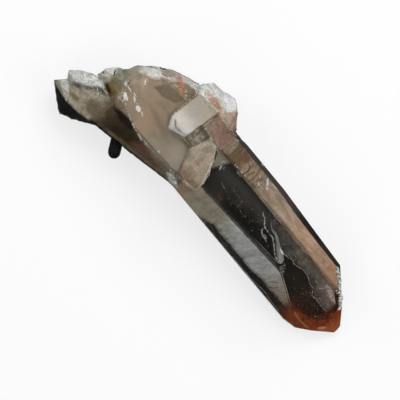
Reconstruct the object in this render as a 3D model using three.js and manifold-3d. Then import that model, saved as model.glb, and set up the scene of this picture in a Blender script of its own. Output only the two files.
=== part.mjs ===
// Lemurian quartz crystal: one long smoky prism on a broken, cloudy root, all one piece of quartz.
// Millimetres. The prism's long axis runs along +X to its tip, +Y points to the crest of the root,
// and +Z points up from the flat prism face on which the crystal lies.
import * as THREE from 'three';
import { ConvexGeometry } from 'three/addons/geometries/ConvexGeometry.js';
import { mergeVertices } from 'three/addons/utils/BufferGeometryUtils.js';
import Module from 'manifold-3d';

// ---- Driving dimensions ----

const PRISM_HEIGHT = 24; // from the face it lies on to the opposite face
const PRISM_AXIS_Z = 12; // height of the axis that the side faces are measured from
const PRISM_STATION = 13; // where along X the reaches below hold
const PRISM_START = -10; // hidden end, inside the root
const CREASE_X = 14; // from here to the tip the far side tapers
const TIP_X = 56.4; // worn end of the tip
const RHOMB_LEAN = 51.8; // a quartz end face's normal, from the long axis

// Each side face: the turn of its normal about X, from +Y, its distance from the axis,
// and how much of that distance it loses for each millimetre towards the tip.
const SIDE_FACES = [
  { turn: 30, reach: 10.85, taper: 0.013 },
  { turn: 90, reach: PRISM_HEIGHT - PRISM_AXIS_Z, taper: 0 },
  { turn: 150, reach: 9.29, taper: 0.06 },
  { turn: 210, reach: 12.5, taper: -0.07 },
  { turn: 270, reach: PRISM_AXIS_Z, taper: 0 },
  { turn: 330, reach: 10.9, taper: 0 },
];
const FAR_TAPER = 0.093; // the extra taper of the face at 330 degrees, past CREASE_X

// Each end face: the turn of its normal about X, the lean of its normal from X, a point on it.
const END_FACES = [
  { turn: 103, lean: RHOMB_LEAN, through: [29.2, -2.8, PRISM_HEIGHT] },
  { turn: 150, lean: 65, through: [43.2, -9.1, 11.2] },
  { turn: 188, lean: 48, through: [50.5, -9.5, 5] },
  { turn: 0, lean: 53, through: [47, 7.1, 8] },
  { turn: 4, lean: 44, through: [54, 1.4, 2] },
  { turn: 330, lean: RHOMB_LEAN, through: [50, 5.3, 3] },
  { turn: 270, lean: RHOMB_LEAN, through: [54.2, 0, 0] },
  { turn: 20, lean: 8, through: [TIP_X, -2, 2.4] },
];
const WORN_EDGE = 1.1; // depth of the worn face along the edge between the first and fourth end faces

// The root's blocks: corners in plan [x, y], each with the heights of the block there.
const ROOT_TOP = [
  [-41.5, -3, 17.4], [-37.5, 4.2, 17.6], [-30, 8.2, 19.4], [-20, 9.4, 21.8], [-9.5, 6.4, 24.3],
  [-6, 2.5, 24.2], [-5.2, -7.6, 22.6], [-12, -9.2, 22.4], [-30, -9.8, 20.2], [-36, -8.4, 18.4],
];
const ROOT_GIRTH = [
  [-44.6, -1.2, 10], [-43, 3, 10], [-38, 7.8, 10.5], [-33.5, 10.8, 11], [-27, 13.4, 11.5],
  [-13, 14.6, 12.5], [-7, 12.1, 12.5], [-4.5, 7, 12.5], [-4, -7, 10], [-9, -12.4, 10.4],
  [-38, -18.7, 8], [-43, -17.4, 8.5], [-45, -9, 9],
];
const ROOT_FOOT = [
  [-37, -3, 0], [-33, 4, 0], [-14, 8, 0], [-6, 5, 0],
  [-6, -7, 0], [-13, -8.2, 0], [-30, -10.5, 0], [-36, -9, 0],
];
const CREST = [
  [-26.4, 13.9, 15.8], [-24.2, 16.9, 14], [-18, 18.1, 13.2], [-16.4, 18.8, 12.4], [-13.6, 17.4, 13],
  [-9, 12.9, 14.8], [-11.5, 8, 21.6], [-24, 8.5, 21.8], [-25, 15.4, 9.4], [-16, 17.9, 8], [-10, 12, 8],
  [-14, 8, 1], [-25, 8, 4],
];
const LOWER_FINGER = [
  [-30, -11, 18.2], [-33, -15.6, 10.4], [-37, -18.1, 13.4], [-41, -19.4, 13.2], [-50.5, -20, 11.6],
  [-55.5, -19, 9.4], [-53.4, -16.4, 12.2], [-46, -12, 15.5], [-38, -12, 17.4], [-45.2, -23, 7],
  [-46.8, -24.6, 6], [-48.4, -24, 5.6], [-55.8, -19.3, 7.4], [-52, -17, 4], [-44, -14, 1.5],
  [-38, -13, 1.5], [-37, -18.1, 8],
];
const UPPER_FINGER = [
  [-53.3, -16.2, 11.6], [-55.2, -14, 10.6], [-53, -11.3, 12.8], [-50, -9.2, 14], [-46.4, -8, 14.8],
  [-42, -9.6, 16.2], [-34, -11.6, 16.8], [-41, -14.4, 15.6], [-53, -14.6, 14.4], [-54.6, -14, 6.6],
  [-52, -15.6, 5.2], [-50, -10, 6], [-44, -8.4, 4], [-43, -15, 3],
];
const KNOB = [
  [-48.5, -8.3, 12], [-48.5, -5.2, 11.4], [-47.1, -3.2, 11.6], [-44.6, -0.8, 11.6], [-42, -2.6, 15.4],
  [-37, -7, 16.8], [-42, -8.4, 14.8], [-46.6, -6.6, 14.8], [-47.6, -7.6, 5.6], [-46.6, -4, 5.2],
  [-43.6, -3, 4],
];

// Small crystals and plates grown on the root's upper side.
const CROSS_CRYSTAL = [
  [-24.9, 1, 23.9], [-22.4, -1.2, 23.7], [-18, 0.5, 24.2], [-17.2, 1.5, 24.4], [-16.8, 10.6, 23.4],
  [-24.8, 10.9, 23], [-25.3, 0.2, 22.6], [-22.4, -2.2, 22.4], [-17.3, -0.2, 23], [-16.4, 1.2, 23],
  [-25.8, 1, 20], [-22.5, -3, 20], [-16, -0.6, 20], [-16, 12.6, 19.4], [-25.6, 12.6, 18.8],
];
const STEP_BLOCK = [
  [-17.2, 0.3, 24.5], [-13.2, -0.2, 24.8], [-12.6, 5.2, 24.6], [-17, 5.5, 24.3],
  [-17.6, -1.2, 21.6], [-12, -1.4, 21.6], [-11.6, 6.6, 21.6], [-17.6, 6.8, 21.6],
];
const GRAINY_PLATE = [
  [-13.8, -0.4, 25.4], [-12.4, 4.9, 25.5], [-8.9, 4.8, 25.4], [-7.4, 3.3, 25.3], [-5.3, 0, 25],
  [-3.9, -4.4, 24.6], [-3.1, -5, 24.3], [-3.2, -7.6, 22.6], [-6, -9, 22.6], [-10.4, -8.3, 23.4],
  [-10.9, -3, 24.8], [-14.4, -0.8, 21], [-12.6, 6, 21], [-7.4, 4.8, 21], [-2.6, -5, 20.6],
  [-2.6, -8.4, 19.6], [-6, -9.8, 19.4], [-11, -9.4, 20],
];

const STUB_RADIUS = 1.95;
const STUB_ROOT = [-30.6, -15.2, 7.4];
const STUB_END = [-27.5, -19.3, 7];
const STUB_SIDES = 14;
const STUB_CAP_RINGS = 4;

// ---- Material ----

const smokyQuartz = new THREE.MeshStandardMaterial({ color: 0x6f6459, roughness: 0.12, metalness: 0 });

// ---- Solids ----

const wasm = await Module();
wasm.setup();

function toSolid(geometry) {
  const bare = geometry.clone();
  bare.deleteAttribute('normal');
  bare.deleteAttribute('uv');
  const merged = mergeVertices(bare, 1e-4);
  return new wasm.Manifold(new wasm.Mesh({
    numProp: 3,
    vertProperties: Float32Array.from(merged.attributes.position.array),
    triVerts: Uint32Array.from(merged.index.array),
  }));
}

function toGeometry(solid) {
  const mesh = solid.getMesh();
  const geometry = new THREE.BufferGeometry();
  geometry.setAttribute('position', new THREE.BufferAttribute(mesh.vertProperties, 3));
  geometry.setIndex(new THREE.BufferAttribute(mesh.triVerts, 1));
  geometry.computeVertexNormals();
  return geometry;
}

function solidFromCorners(corners) {
  const points = corners.map(([x, y, z]) => new THREE.Vector3(x, y, z));
  return toSolid(new ConvexGeometry(points));
}

// The convex solid inside all the planes: its corners are where three planes meet.
function solidFromPlanes(planes) {
  const corners = [];
  for (let i = 0; i < planes.length; i += 1) {
    for (let j = i + 1; j < planes.length; j += 1) {
      for (let k = j + 1; k < planes.length; k += 1) {
        const corner = meetingPoint(planes[i], planes[j], planes[k]);
        if (corner && planes.every((plane) => plane.distanceToPoint(corner) < 1e-6)) {
          corners.push(corner);
        }
      }
    }
  }
  return toSolid(new ConvexGeometry(corners));
}

function meetingPoint(a, b, c) {
  const bc = new THREE.Vector3().crossVectors(b.normal, c.normal);
  const scale = a.normal.dot(bc);
  if (Math.abs(scale) < 1e-9) {
    return null;
  }
  const ca = new THREE.Vector3().crossVectors(c.normal, a.normal);
  const ab = new THREE.Vector3().crossVectors(a.normal, b.normal);
  return bc.multiplyScalar(-a.constant)
    .addScaledVector(ca, -b.constant)
    .addScaledVector(ab, -c.constant)
    .divideScalar(scale);
}

function planeThrough(normal, point) {
  return new THREE.Plane().setFromNormalAndCoplanarPoint(normal.clone().normalize(), point);
}

function sideFace({ turn, reach, taper }, station = PRISM_STATION) {
  const angle = THREE.MathUtils.degToRad(turn);
  const outward = new THREE.Vector3(0, Math.cos(angle), Math.sin(angle));
  const point = outward.clone().multiplyScalar(reach).add(new THREE.Vector3(station, 0, PRISM_AXIS_Z));
  return planeThrough(outward.setX(taper), point);
}

function endFace({ turn, lean, through }) {
  const turned = THREE.MathUtils.degToRad(turn);
  const leaned = THREE.MathUtils.degToRad(lean);
  const normal = new THREE.Vector3(
    Math.cos(leaned),
    Math.sin(leaned) * Math.cos(turned),
    Math.sin(leaned) * Math.sin(turned),
  );
  return planeThrough(normal, new THREE.Vector3(...through));
}

// A narrow face worn along the edge where two planes meet, its corner cut back by depth.
function wornEdge(a, b, depth) {
  const normal = a.normal.clone().add(b.normal);
  const constant = (a.constant + b.constant + depth) / normal.length();
  return new THREE.Plane(normal.normalize(), constant);
}

function makePrism() {
  const far = SIDE_FACES.at(-1);
  const sides = SIDE_FACES.map((face) => sideFace(face));
  const farTaper = sideFace({ ...far, taper: FAR_TAPER }, CREASE_X);
  const ends = END_FACES.map(endFace);
  const hiddenEnd = planeThrough(new THREE.Vector3(-1, 0, 0), new THREE.Vector3(PRISM_START, 0, 0));
  return solidFromPlanes([...sides, farTaper, ...ends, wornEdge(ends[0], ends[3], WORN_EDGE), hiddenEnd]);
}

function makeStub() {
  const root = new THREE.Vector3(...STUB_ROOT);
  const axis = new THREE.Vector3(...STUB_END).sub(root);
  const length = axis.length();
  const stub = new THREE.CapsuleGeometry(STUB_RADIUS, length, STUB_CAP_RINGS, STUB_SIDES);
  const along = new THREE.Quaternion().setFromUnitVectors(new THREE.Vector3(0, 1, 0), axis.normalize());
  stub.translate(0, length / 2, 0);
  stub.applyQuaternion(along);
  stub.translate(root.x, root.y, root.z);
  return toSolid(stub);
}

function makeCrystal() {
  const root = solidFromCorners([...ROOT_TOP, ...ROOT_GIRTH, ...ROOT_FOOT]);
  const blocks = [CREST, LOWER_FINGER, UPPER_FINGER, KNOB, CROSS_CRYSTAL, STEP_BLOCK, GRAINY_PLATE];
  let crystal = makePrism().add(root);
  for (const corners of blocks) {
    crystal = crystal.add(solidFromCorners(corners));
  }
  return toGeometry(crystal.add(makeStub()));
}

// Puts the origin under the middle of the crystal, on the surface it lies on.
function centreOnGround(geometry) {
  geometry.computeBoundingBox();
  const middle = geometry.boundingBox.getCenter(new THREE.Vector3());
  geometry.translate(-middle.x, -middle.y, -geometry.boundingBox.min.z);
  return geometry;
}

const crystal = new THREE.Mesh(centreOnGround(makeCrystal()), smokyQuartz);
crystal.name = 'crystal';

const group = new THREE.Group();
group.add(crystal);

export default group;
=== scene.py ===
"""Lemurian quartz crystal: its finish, and what is sealed in it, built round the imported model.

One long smoky prism lies on one of its faces, with a slanted, rust-stained end and a broken, cloudy root.
Sizes here are in millimetres from the prism's long axis and are turned into metres by spot().
"""

import math
import random

import bmesh
import bpy
from mathutils import Matrix, Vector, noise
from mathutils.bvhtree import BVHTree


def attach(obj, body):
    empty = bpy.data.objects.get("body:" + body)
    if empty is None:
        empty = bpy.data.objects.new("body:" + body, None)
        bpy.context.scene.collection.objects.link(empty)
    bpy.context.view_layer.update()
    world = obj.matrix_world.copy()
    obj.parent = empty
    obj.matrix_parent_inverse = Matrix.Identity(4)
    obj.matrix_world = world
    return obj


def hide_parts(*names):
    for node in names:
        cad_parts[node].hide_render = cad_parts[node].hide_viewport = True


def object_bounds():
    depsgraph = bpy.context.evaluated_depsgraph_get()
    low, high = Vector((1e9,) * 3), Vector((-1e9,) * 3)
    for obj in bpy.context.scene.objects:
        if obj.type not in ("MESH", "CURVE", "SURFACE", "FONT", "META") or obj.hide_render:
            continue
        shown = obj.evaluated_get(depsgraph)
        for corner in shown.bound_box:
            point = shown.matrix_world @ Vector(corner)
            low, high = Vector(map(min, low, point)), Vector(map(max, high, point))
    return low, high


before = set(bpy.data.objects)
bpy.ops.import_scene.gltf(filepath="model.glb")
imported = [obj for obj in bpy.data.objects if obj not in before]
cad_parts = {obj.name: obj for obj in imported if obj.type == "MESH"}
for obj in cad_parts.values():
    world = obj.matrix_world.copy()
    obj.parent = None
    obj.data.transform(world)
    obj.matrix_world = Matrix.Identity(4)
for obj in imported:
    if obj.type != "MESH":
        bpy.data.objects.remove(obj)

bl_info = {
    "name": "Lemurian quartz crystal",
    "version": (1, 0, 0),
    "blender": (4, 5, 0),
    "location": "3D View > Sidebar > Crystal",
    "description": "Builds a smoky quartz prism on its cloudy root, with the zones and films sealed in it",
    "category": "Add Mesh",
}

NODE = "crystal"
MM = 0.001
QUARTZ_IOR = 1.544

CAD_LOW, CAD_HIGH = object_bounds()
TIP_X = 56.4  # the worn tip, from the origin that the features are placed from
CREST_Y = 18.8  # the crest's edge, from the prism's long axis
SHIFT = Vector((CAD_HIGH.x / MM - TIP_X, CAD_HIGH.y / MM - CREST_Y, 0))
SAME_PLACE = 0.002  # corners nearer than this are one corner
SAME_FACE = 0.35  # triangles that turn less than this, in degrees, are one flat face
ALIKE = 0.9985  # the least cosine between a face's direction and the one it is named by
PRISM_START = -2
WORN_ANGLE = 9  # edges of the prism sharper than this, in degrees, are worn round
ABOVE_ALL = 60  # a height over the whole crystal

# The root's broken surface.
ROOT_AXIS_Z = 11.0
ROOT_BORDER = -2.8  # where along X the broken root ends
ROOT_EDGE = 0.62  # longest edge of the root's fine mesh
REFINING_ROUNDS = 14
ROOT_SEED = 5
CLOUD_END = -7.6  # where along X the clouds end, under the prism's veils
CLOUD_FLOOR = 0.2  # the clouds stay this high above the surface that the crystal lies on
SMOOTH_ANGLE = 24  # the fine breaks of the root are rounded below this angle, in degrees

# What lies in the surface.
SEAM_THICKNESS = 0.06
SEAM_STEP = 0.6
STEEPEST = 4.0  # the rise over run that a seam still follows
SHEET_THICKNESS = 0.12
CRACK_THICKNESS = 0.05
GROWN_DEPTH = 0.22  # the small crystals lie this deep
GROWN_WEAR = 0.25  # and the wear of their edges
CRUST_SPLINTERS = 10  # on each stretch of the tip's far rim
CRUST_SEED = 9
SPECK_SHARE = 0.3  # of the flecks' density
SPECK_SIZE = 0.24  # of the flecks' size
SPECK_SEED = 11
GLINT_SIZE = 0.5
GLINT_DEPTH = 0.32
GLINT_SEED = 5

LIGHTEST = 0.95  # no body colour is lighter than this

# The stage: sizes and distances in metres, the view in millimetres.
FLOOR_SIZE = 1.5
FLOOR_GLOW = 0.72
WORLD_LIGHT = 0.08
LAMP_SIZE = 0.5
LAMP_DISTANCE = 0.78
LAMPS = ((115, 48, 5.9), (35, 40, 3.0), (195, 40, 2.4), (290, 42, 2.0))  # azimuth, elevation and watts
CAMERA_LENS = 900
CAMERA_SENSOR = 36
CAMERA_AZIMUTH = 50  # the way the view's right side points
VIEW_WIDTH = 120
VIEW_MIDDLE = (-0.1, -8.8, 12)

# Directions that the prism's faces look in: side faces first, then end faces.
TOP = (0, 0, 1)
NEAR_UPPER = (0.06, -0.866, 0.5)
NEAR_LOWER = (-0.07, -0.866, -0.5)
UNDER = (0, 0, -1)
FAR_LOWER = (0, 0.866, -0.5)
FAR_LOWER_TAPER = (0.093, 0.866, -0.5)
FAR_UPPER = (0.013, 0.866, 0.5)
END_SLANT = (0.618, -0.177, 0.766)
END_NEAR = (0.423, -0.785, 0.453)
END_NEAR_LOW = (0.669, -0.736, -0.103)
END_FAR = (0.602, 0.799, 0)
END_FAR_TIP = (0.719, 0.693, 0.048)
END_FAR_LOW = (0.618, 0.681, -0.393)
END_UNDER = (0.618, 0, -0.786)
SIDES = (TOP, NEAR_UPPER, NEAR_LOWER, UNDER, FAR_LOWER, FAR_LOWER_TAPER, FAR_UPPER)
ENDS = (END_SLANT, END_NEAR, END_NEAR_LOW, END_FAR, END_FAR_TIP, END_FAR_LOW, END_UNDER)

# The small crystals grown on the root's upper side: corners, as (x, y, z).
CROSS_CRYSTAL = (
    (-24.9, 1, 23.9), (-22.4, -1.2, 23.7), (-18, 0.5, 24.2), (-17.2, 1.5, 24.4), (-16.8, 10.6, 23.4),
    (-24.6, 10.9, 23), (-24.7, 0.4, 22.6), (-22.4, -2.2, 22.4), (-17.3, -0.2, 23), (-16.4, 1.2, 23),
    (-24.6, 1, 20), (-22.5, -2.6, 20), (-16.4, -0.4, 20), (-16.4, 12.6, 19.4), (-24.5, 12.6, 18.8),
)
STEP_BLOCK = (
    (-17.2, 0.3, 24.5), (-13.2, -0.2, 24.8), (-12.6, 5.2, 24.6), (-17, 5.5, 24.3),
    (-17.6, -1.2, 21.6), (-12, -1.4, 21.6), (-11.6, 6.6, 21.6), (-17.6, 6.8, 21.6),
)
GRAINY_PLATE = (
    (-13.8, -0.4, 25.4), (-12.4, 4.9, 25.5), (-8.9, 4.8, 25.4), (-7.4, 3.3, 25.3), (-5.3, 0, 25),
    (-3.9, -4.4, 24.6), (-3.1, -5, 24.3), (-3.2, -7.6, 22.6), (-6, -9, 22.6), (-10.4, -8.3, 23.4),
    (-10.9, -3, 24.8), (-14.4, -0.8, 21), (-12.6, 5.4, 21), (-7.4, 3.8, 21), (-3, -5, 20.6),
    (-3, -8.2, 19.6), (-6, -9.5, 19.4), (-11, -9, 20),
)


def spot(x, y, z=0.0):
    """A place given in millimetres from the prism's axis, as a point in the frame."""
    return (Vector((x, y, z)) + SHIFT) * MM


def smoothstep(low, high, value):
    """0 at low, 1 at high, and a smooth rise between them; low may be the larger."""
    share = min(max((value - low) / (high - low), 0.0), 1.0)
    return share * share * (3 - 2 * share)


# ---- Meshes ----


def whole(bm):
    """Every vertex, edge and face of a bmesh."""
    return bm.verts[:] + bm.edges[:] + bm.faces[:]


def crystal_mesh():
    """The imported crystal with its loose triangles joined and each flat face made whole."""
    bm = bmesh.new()
    bm.from_mesh(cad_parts[NODE].data)
    bmesh.ops.remove_doubles(bm, verts=bm.verts, dist=SAME_PLACE * MM)
    bmesh.ops.dissolve_degenerate(bm, edges=bm.edges, dist=SAME_PLACE * MM)
    bmesh.ops.dissolve_limit(bm, angle_limit=math.radians(SAME_FACE), verts=bm.verts, edges=bm.edges)
    bm.normal_update()
    return bm


def prism_faces():
    """The plane of each named face, as its normal and a point: the largest face that looks that way."""
    bm = crystal_mesh()
    planes = {}
    prism_only = spot(PRISM_START, 0).x
    for direction in SIDES + ENDS:
        aim = Vector(direction).normalized()
        alike = [f for f in bm.faces if f.normal.dot(aim) > ALIKE]
        found = [f for f in alike if f.calc_center_median().x > prism_only]
        if not found:
            raise RuntimeError(f"no face of the prism looks along {direction}")
        face = max(found, key=lambda f: f.calc_area())
        planes[direction] = (face.normal.copy(), face.calc_center_median())
    bm.free()
    return planes


def solid_inside(planes, low, high):
    """A convex solid: the box from low to high, cut by each (normal, point) plane."""
    bm = bmesh.new()
    size, middle = high - low, (high + low) / 2
    place = Matrix.Translation(middle) @ Matrix.Diagonal((*size, 1))
    bmesh.ops.create_cube(bm, size=1, matrix=place)
    for normal, point in planes:
        cut = bmesh.ops.bisect_plane(
            bm, geom=whole(bm), dist=1e-7, plane_co=point, plane_no=normal, clear_outer=True,
        )
        edges = [g for g in cut["geom_cut"] if isinstance(g, bmesh.types.BMEdge)]
        if edges:
            bmesh.ops.contextual_create(bm, geom=edges)
    bmesh.ops.recalc_face_normals(bm, faces=bm.faces)
    return bm


def inset(planes, depths):
    """The planes moved inwards, each by its depth in millimetres."""
    return [(planes[key][0], planes[key][1] - planes[key][0] * depth * MM) for key, depth in depths.items()]


def grown_block(corners):
    """The convex solid through the corners, moved inwards, with worn edges."""
    hull = bmesh.new()
    for corner in corners:
        hull.verts.new(spot(*corner))
    made = bmesh.ops.convex_hull(hull, input=hull.verts)
    planes = [
        (f.normal.copy(), f.calc_center_median() - f.normal * GROWN_DEPTH * MM)
        for f in made["geom"] if isinstance(f, bmesh.types.BMFace)
    ]
    low = Vector([min(v.co[i] for v in hull.verts) for i in range(3)])
    high = Vector([max(v.co[i] for v in hull.verts) for i in range(3)])
    hull.free()
    bm = solid_inside(planes, low, high)
    bmesh.ops.dissolve_limit(bm, angle_limit=math.radians(1), verts=bm.verts, edges=bm.edges)
    bmesh.ops.bevel(
        bm, geom=bm.edges[:], offset=GROWN_WEAR * MM, offset_type="WIDTH", segments=2, profile=0.5,
        affect="EDGES", clamp_overlap=True,
    )
    bmesh.ops.triangulate(bm, faces=bm.faces[:])
    return bm


def seen_under(face, x, y, depth):
    """The point that deep under a face, in millimetres, that shows at (x, y) from straight above the crystal.

    The line of sight bends where it enters the quartz, by Snell's law.
    """
    normal, point = face
    surface = spot(x, y)
    surface.z = point.z - (normal.x * (surface.x - point.x) + normal.y * (surface.y - point.y)) / normal.z
    cosine = normal.z
    bent = math.sqrt(1 - (1 - cosine * cosine) / QUARTZ_IOR**2)
    sight = Vector((0, 0, -1)) / QUARTZ_IOR + normal * (cosine / QUARTZ_IOR - bent)
    return surface + sight * (depth * MM / bent)


def add_sheet(bm, face, outline, depth, thickness=SHEET_THICKNESS):
    """Adds a thin closed sheet under a face, with its outline as it shows from straight above."""
    upper = [bm.verts.new(seen_under(face, x, y, depth)) for x, y in outline]
    drop = face[0] * thickness * MM
    lower = [bm.verts.new(v.co - drop) for v in upper]
    count = len(outline)
    lids = [bm.faces.new(upper), bm.faces.new(lower[::-1])]
    for i in range(count):
        j = (i + 1) % count
        bm.faces.new((upper[j], upper[i], lower[i], lower[j]))
    bmesh.ops.triangulate(bm, faces=lids, ngon_method="BEAUTY")


def sheets_piece(name, material, faces, sheets, thickness):
    """Makes a piece of thin sheets, each given by the face above it, its depth and its outline."""
    bm = bmesh.new()
    for key, depth, outline in sheets:
        add_sheet(bm, faces[key], outline, depth, thickness)
    bmesh.ops.recalc_face_normals(bm, faces=bm.faces)
    finished(bm, name, material)


def sides_of(route):
    """The left and right edges of a ribbon along a route of (x, y, width) points."""
    left, right = [], []
    for i, (x, y, width) in enumerate(route):
        before, after = route[max(i - 1, 0)], route[min(i + 1, len(route) - 1)]
        way = Vector((after[0] - before[0], after[1] - before[1])).normalized() * width / 2
        left.append((x - way.y, y + way.x))
        right.append((x + way.y, y - way.x))
    return left, right


def band(route):
    """The outline of a ribbon along a route."""
    left, right = sides_of(route)
    return left + right[::-1]


def chip(x, y, long, short, turn=0):
    """The outline of a small five-sided chip."""
    along = Vector((math.cos(math.radians(turn)), math.sin(math.radians(turn))))
    corners = ((-1, -0.5), (0.3, -1), (1, -0.1), (0.4, 1), (-0.7, 0.8))
    return [
        (
            x + u * long / 2 * along.x - v * short / 2 * along.y,
            y + u * long / 2 * along.y + v * short / 2 * along.x,
        )
        for u, v in corners
    ]


def resampled(route):
    """The route with points at most SEAM_STEP apart."""
    points = [route[0]]
    for start, end in zip(route, route[1:]):
        parts = max(1, math.ceil(math.hypot(end[0] - start[0], end[1] - start[1]) / SEAM_STEP))
        for k in range(1, parts + 1):
            t = k / parts
            points.append(tuple(a + (b - a) * t for a, b in zip(start, end)))
    return points


class Surface:
    """The crystal's upper surface, to lay seams under."""

    def __init__(self, sizes):
        bm = crystal_mesh()
        bmesh.ops.triangulate(bm, faces=bm.faces[:])
        self.tree = BVHTree.FromBMesh(bm)
        self.sizes = sizes
        bm.free()

    def under(self, x, y, depth, fallback=None):
        """The point a depth straight under the surface at (x, y), moved as the root's surface is."""
        hit = self.tree.ray_cast(spot(x, y, ABOVE_ALL), Vector((0, 0, -1)))[0]
        if hit is None:
            return fallback
        return hit + warp(hit, self.sizes) - Vector((0, 0, depth * MM))

    def add_seam(self, bm, route, depth):
        """Adds a thin closed strip that follows the surface at a depth, and stops where it drops away."""
        route = resampled(route)
        runs = [[]]
        for (x, y, _), left, right in zip(route, *sides_of(route)):
            middle = self.under(x, y, depth)
            if middle is None:
                continue
            ends = [self.under(*edge, depth, middle) for edge in (left, right)]
            if drops_away(*ends):
                runs.append([])
                continue
            if runs[-1] and drops_away(runs[-1][-1][0], ends[0]):
                runs.append([])
            runs[-1].append(ends)
        down = Vector((0, 0, SEAM_THICKNESS * MM))
        for run in runs:
            if len(run) < 2:
                continue
            rings = [(left, right, right - down, left - down) for left, right in run]
            rows = [[bm.verts.new(corner) for corner in ring] for ring in rings]
            for a, b in zip(rows, rows[1:]):
                for k in range(4):
                    bm.faces.new((a[k], a[(k + 1) % 4], b[(k + 1) % 4], b[k]))
            bm.faces.new(rows[0][::-1])
            bm.faces.new(rows[-1])


def drops_away(a, b):
    """Whether the surface falls between two points more steeply than a seam follows."""
    return abs(a.z - b.z) > STEEPEST * (a.xy - b.xy).length + 0.3 * MM


def add_splinter(bm, centre, reach, rng):
    """Adds one angular splinter: the hull of points around a centre, longer one way than the other."""
    turn = Matrix.Rotation(rng.uniform(0, math.pi), 3, "Z")
    points = []
    for _ in range(12):
        way = Vector([rng.uniform(-1, 1) for _ in range(3)]).normalized() * reach * MM
        points.append(bm.verts.new(centre + turn @ Vector((way.x * 1.25, way.y * 0.7, way.z * 0.8))))
    made = bmesh.ops.convex_hull(bm, input=points)
    spare = set(made["geom_interior"]) | set(made["geom_unused"])
    bmesh.ops.delete(bm, geom=[g for g in spare if isinstance(g, bmesh.types.BMVert)], context="VERTS")


def refine_root(bm):
    """Halves the root's edges, longest first, until none is longer than ROOT_EDGE.

    Each cut is joined to the far corner of the triangles beside it, so none of them is flat or doubled.
    """
    border = spot(ROOT_BORDER + 0.2, 0).x
    for _ in range(REFINING_ROUNDS):
        long_edges = [
            e for e in bm.edges
            if e.calc_length() > ROOT_EDGE * MM and ((e.verts[0].co + e.verts[1].co) / 2).x < border
        ]
        if not long_edges:
            break
        beside = {face for edge in long_edges for face in edge.link_faces if len(face.verts) > 3}
        if beside:
            many = [face for face in bm.faces if face in beside]
            bmesh.ops.triangulate(bm, faces=many, quad_method="BEAUTY", ngon_method="BEAUTY")
            continue
        for edge in sorted(long_edges, key=lambda e: -e.calc_length()):
            middle = bmesh.utils.edge_split(edge, edge.verts[0], 0.5)[1]
            for face in list(middle.link_faces):
                around = [loop.vert for loop in face.loops]
                far_corner = around[(around.index(middle) + 2) % 4]
                bmesh.utils.face_split(face, middle, far_corner)


def settle_order(bm):
    """Sorts the mesh's parts by place, so that their order is always the same."""
    for parts, place in (
        (bm.verts, lambda vert: vert.co),
        (bm.edges, lambda edge: edge.verts[0].co + edge.verts[1].co),
        (bm.faces, lambda face: face.calc_center_median()),
    ):
        in_order = sorted(parts, key=lambda part: tuple(place(part)))
        ranks = {part: rank for rank, part in enumerate(in_order)}
        parts.sort(key=lambda part: ranks[part])


def noise_shifts():
    """Three places far enough apart that the noise round each is its own."""
    rng = random.Random(ROOT_SEED)
    return [Vector([round(rng.uniform(0, 25), 1) for _ in range(3)]) for _ in range(3)]


NOISE_SHIFTS = noise_shifts()


def steady_vector(p):
    """Three noise values as a vector."""
    return Vector([noise.noise(p + shift) for shift in NOISE_SHIFTS])


def hackle(p, size):
    """A broken surface's steps, about -0.5 to 0.5: each cell of the break has a slope of its own."""
    place = p / size
    cell = noise.voronoi(place)[1][0]
    lean = steady_vector(cell * 3.1)
    return lean.dot(place - cell) + 0.35 * noise.noise(cell * 5.7)


def warp(point, sizes):
    """How far the root's broken surface moves a point, in metres: nothing on the prism."""
    p = point / MM - SHIFT
    weight = smoothstep(-3.0, -8.5, p.x) * (1 - 0.9 * smoothstep(21.8, 23.2, p.z))
    if weight == 0:
        return Vector((0, 0, 0))
    calm = smoothstep(1.3, 0.8, math.hypot((p.x + 24) / 16, (p.y + 2.5) / 7.5)) * smoothstep(16, 19, p.z)
    flank = smoothstep(-9.5, -11.5, p.y) * smoothstep(-43, -39, p.x)
    weight *= (1 - 0.8 * calm) * (1 - 0.65 * flank) * (0.3 + 0.7 * smoothstep(3, 10, p.z))
    axis = Vector((min(max(p.x, -43), -9), -3, ROOT_AXIS_Z))
    out = (p - axis).normalized()
    rise = 0.75 * hackle(p, 4.6) + 0.42 * hackle(p + Vector((9, 5, 2)), 2.1)
    rise += 0.22 * noise.noise(p * 0.9)
    swell = steady_vector(p * 0.2) * 0.35
    return (out * rise + swell) * weight * sizes.root_roughness * MM


def finished(bm, name, material, smooth_angle=None):
    """Makes the bmesh an object of the crystal that rides with it."""
    bm.normal_update()
    mesh = bpy.data.meshes.new(name)
    bm.to_mesh(mesh)
    bm.free()
    mesh.materials.append(material)
    return placed(mesh, name, smooth_angle)


def placed(mesh, name, smooth_angle=None):
    """Puts a finished mesh in the scene as a piece that rides with the crystal."""
    piece = bpy.data.objects.new(name, mesh)
    bpy.context.scene.collection.objects.link(piece)
    if smooth_angle is None:
        mesh.shade_flat()
    else:
        mesh.shade_smooth()
        mesh.set_sharp_from_angle(angle=math.radians(smooth_angle))
    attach(piece, "root")
    return piece


# ---- Geometry Nodes ----


def add_node(tree, kind, settings=None, sockets=None):
    """Adds a node of a type to a tree, with its settings, and values or links for its sockets."""
    made = tree.nodes.new(kind)
    for key, value in (settings or {}).items():
        setattr(made, key, value)
    for key, value in (sockets or {}).items():
        source = getattr(value, "socket", value)
        if isinstance(source, bpy.types.NodeSocket):
            tree.links.new(source, made.inputs[key])
        else:
            made.inputs[key].default_value = source
    return made


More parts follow.
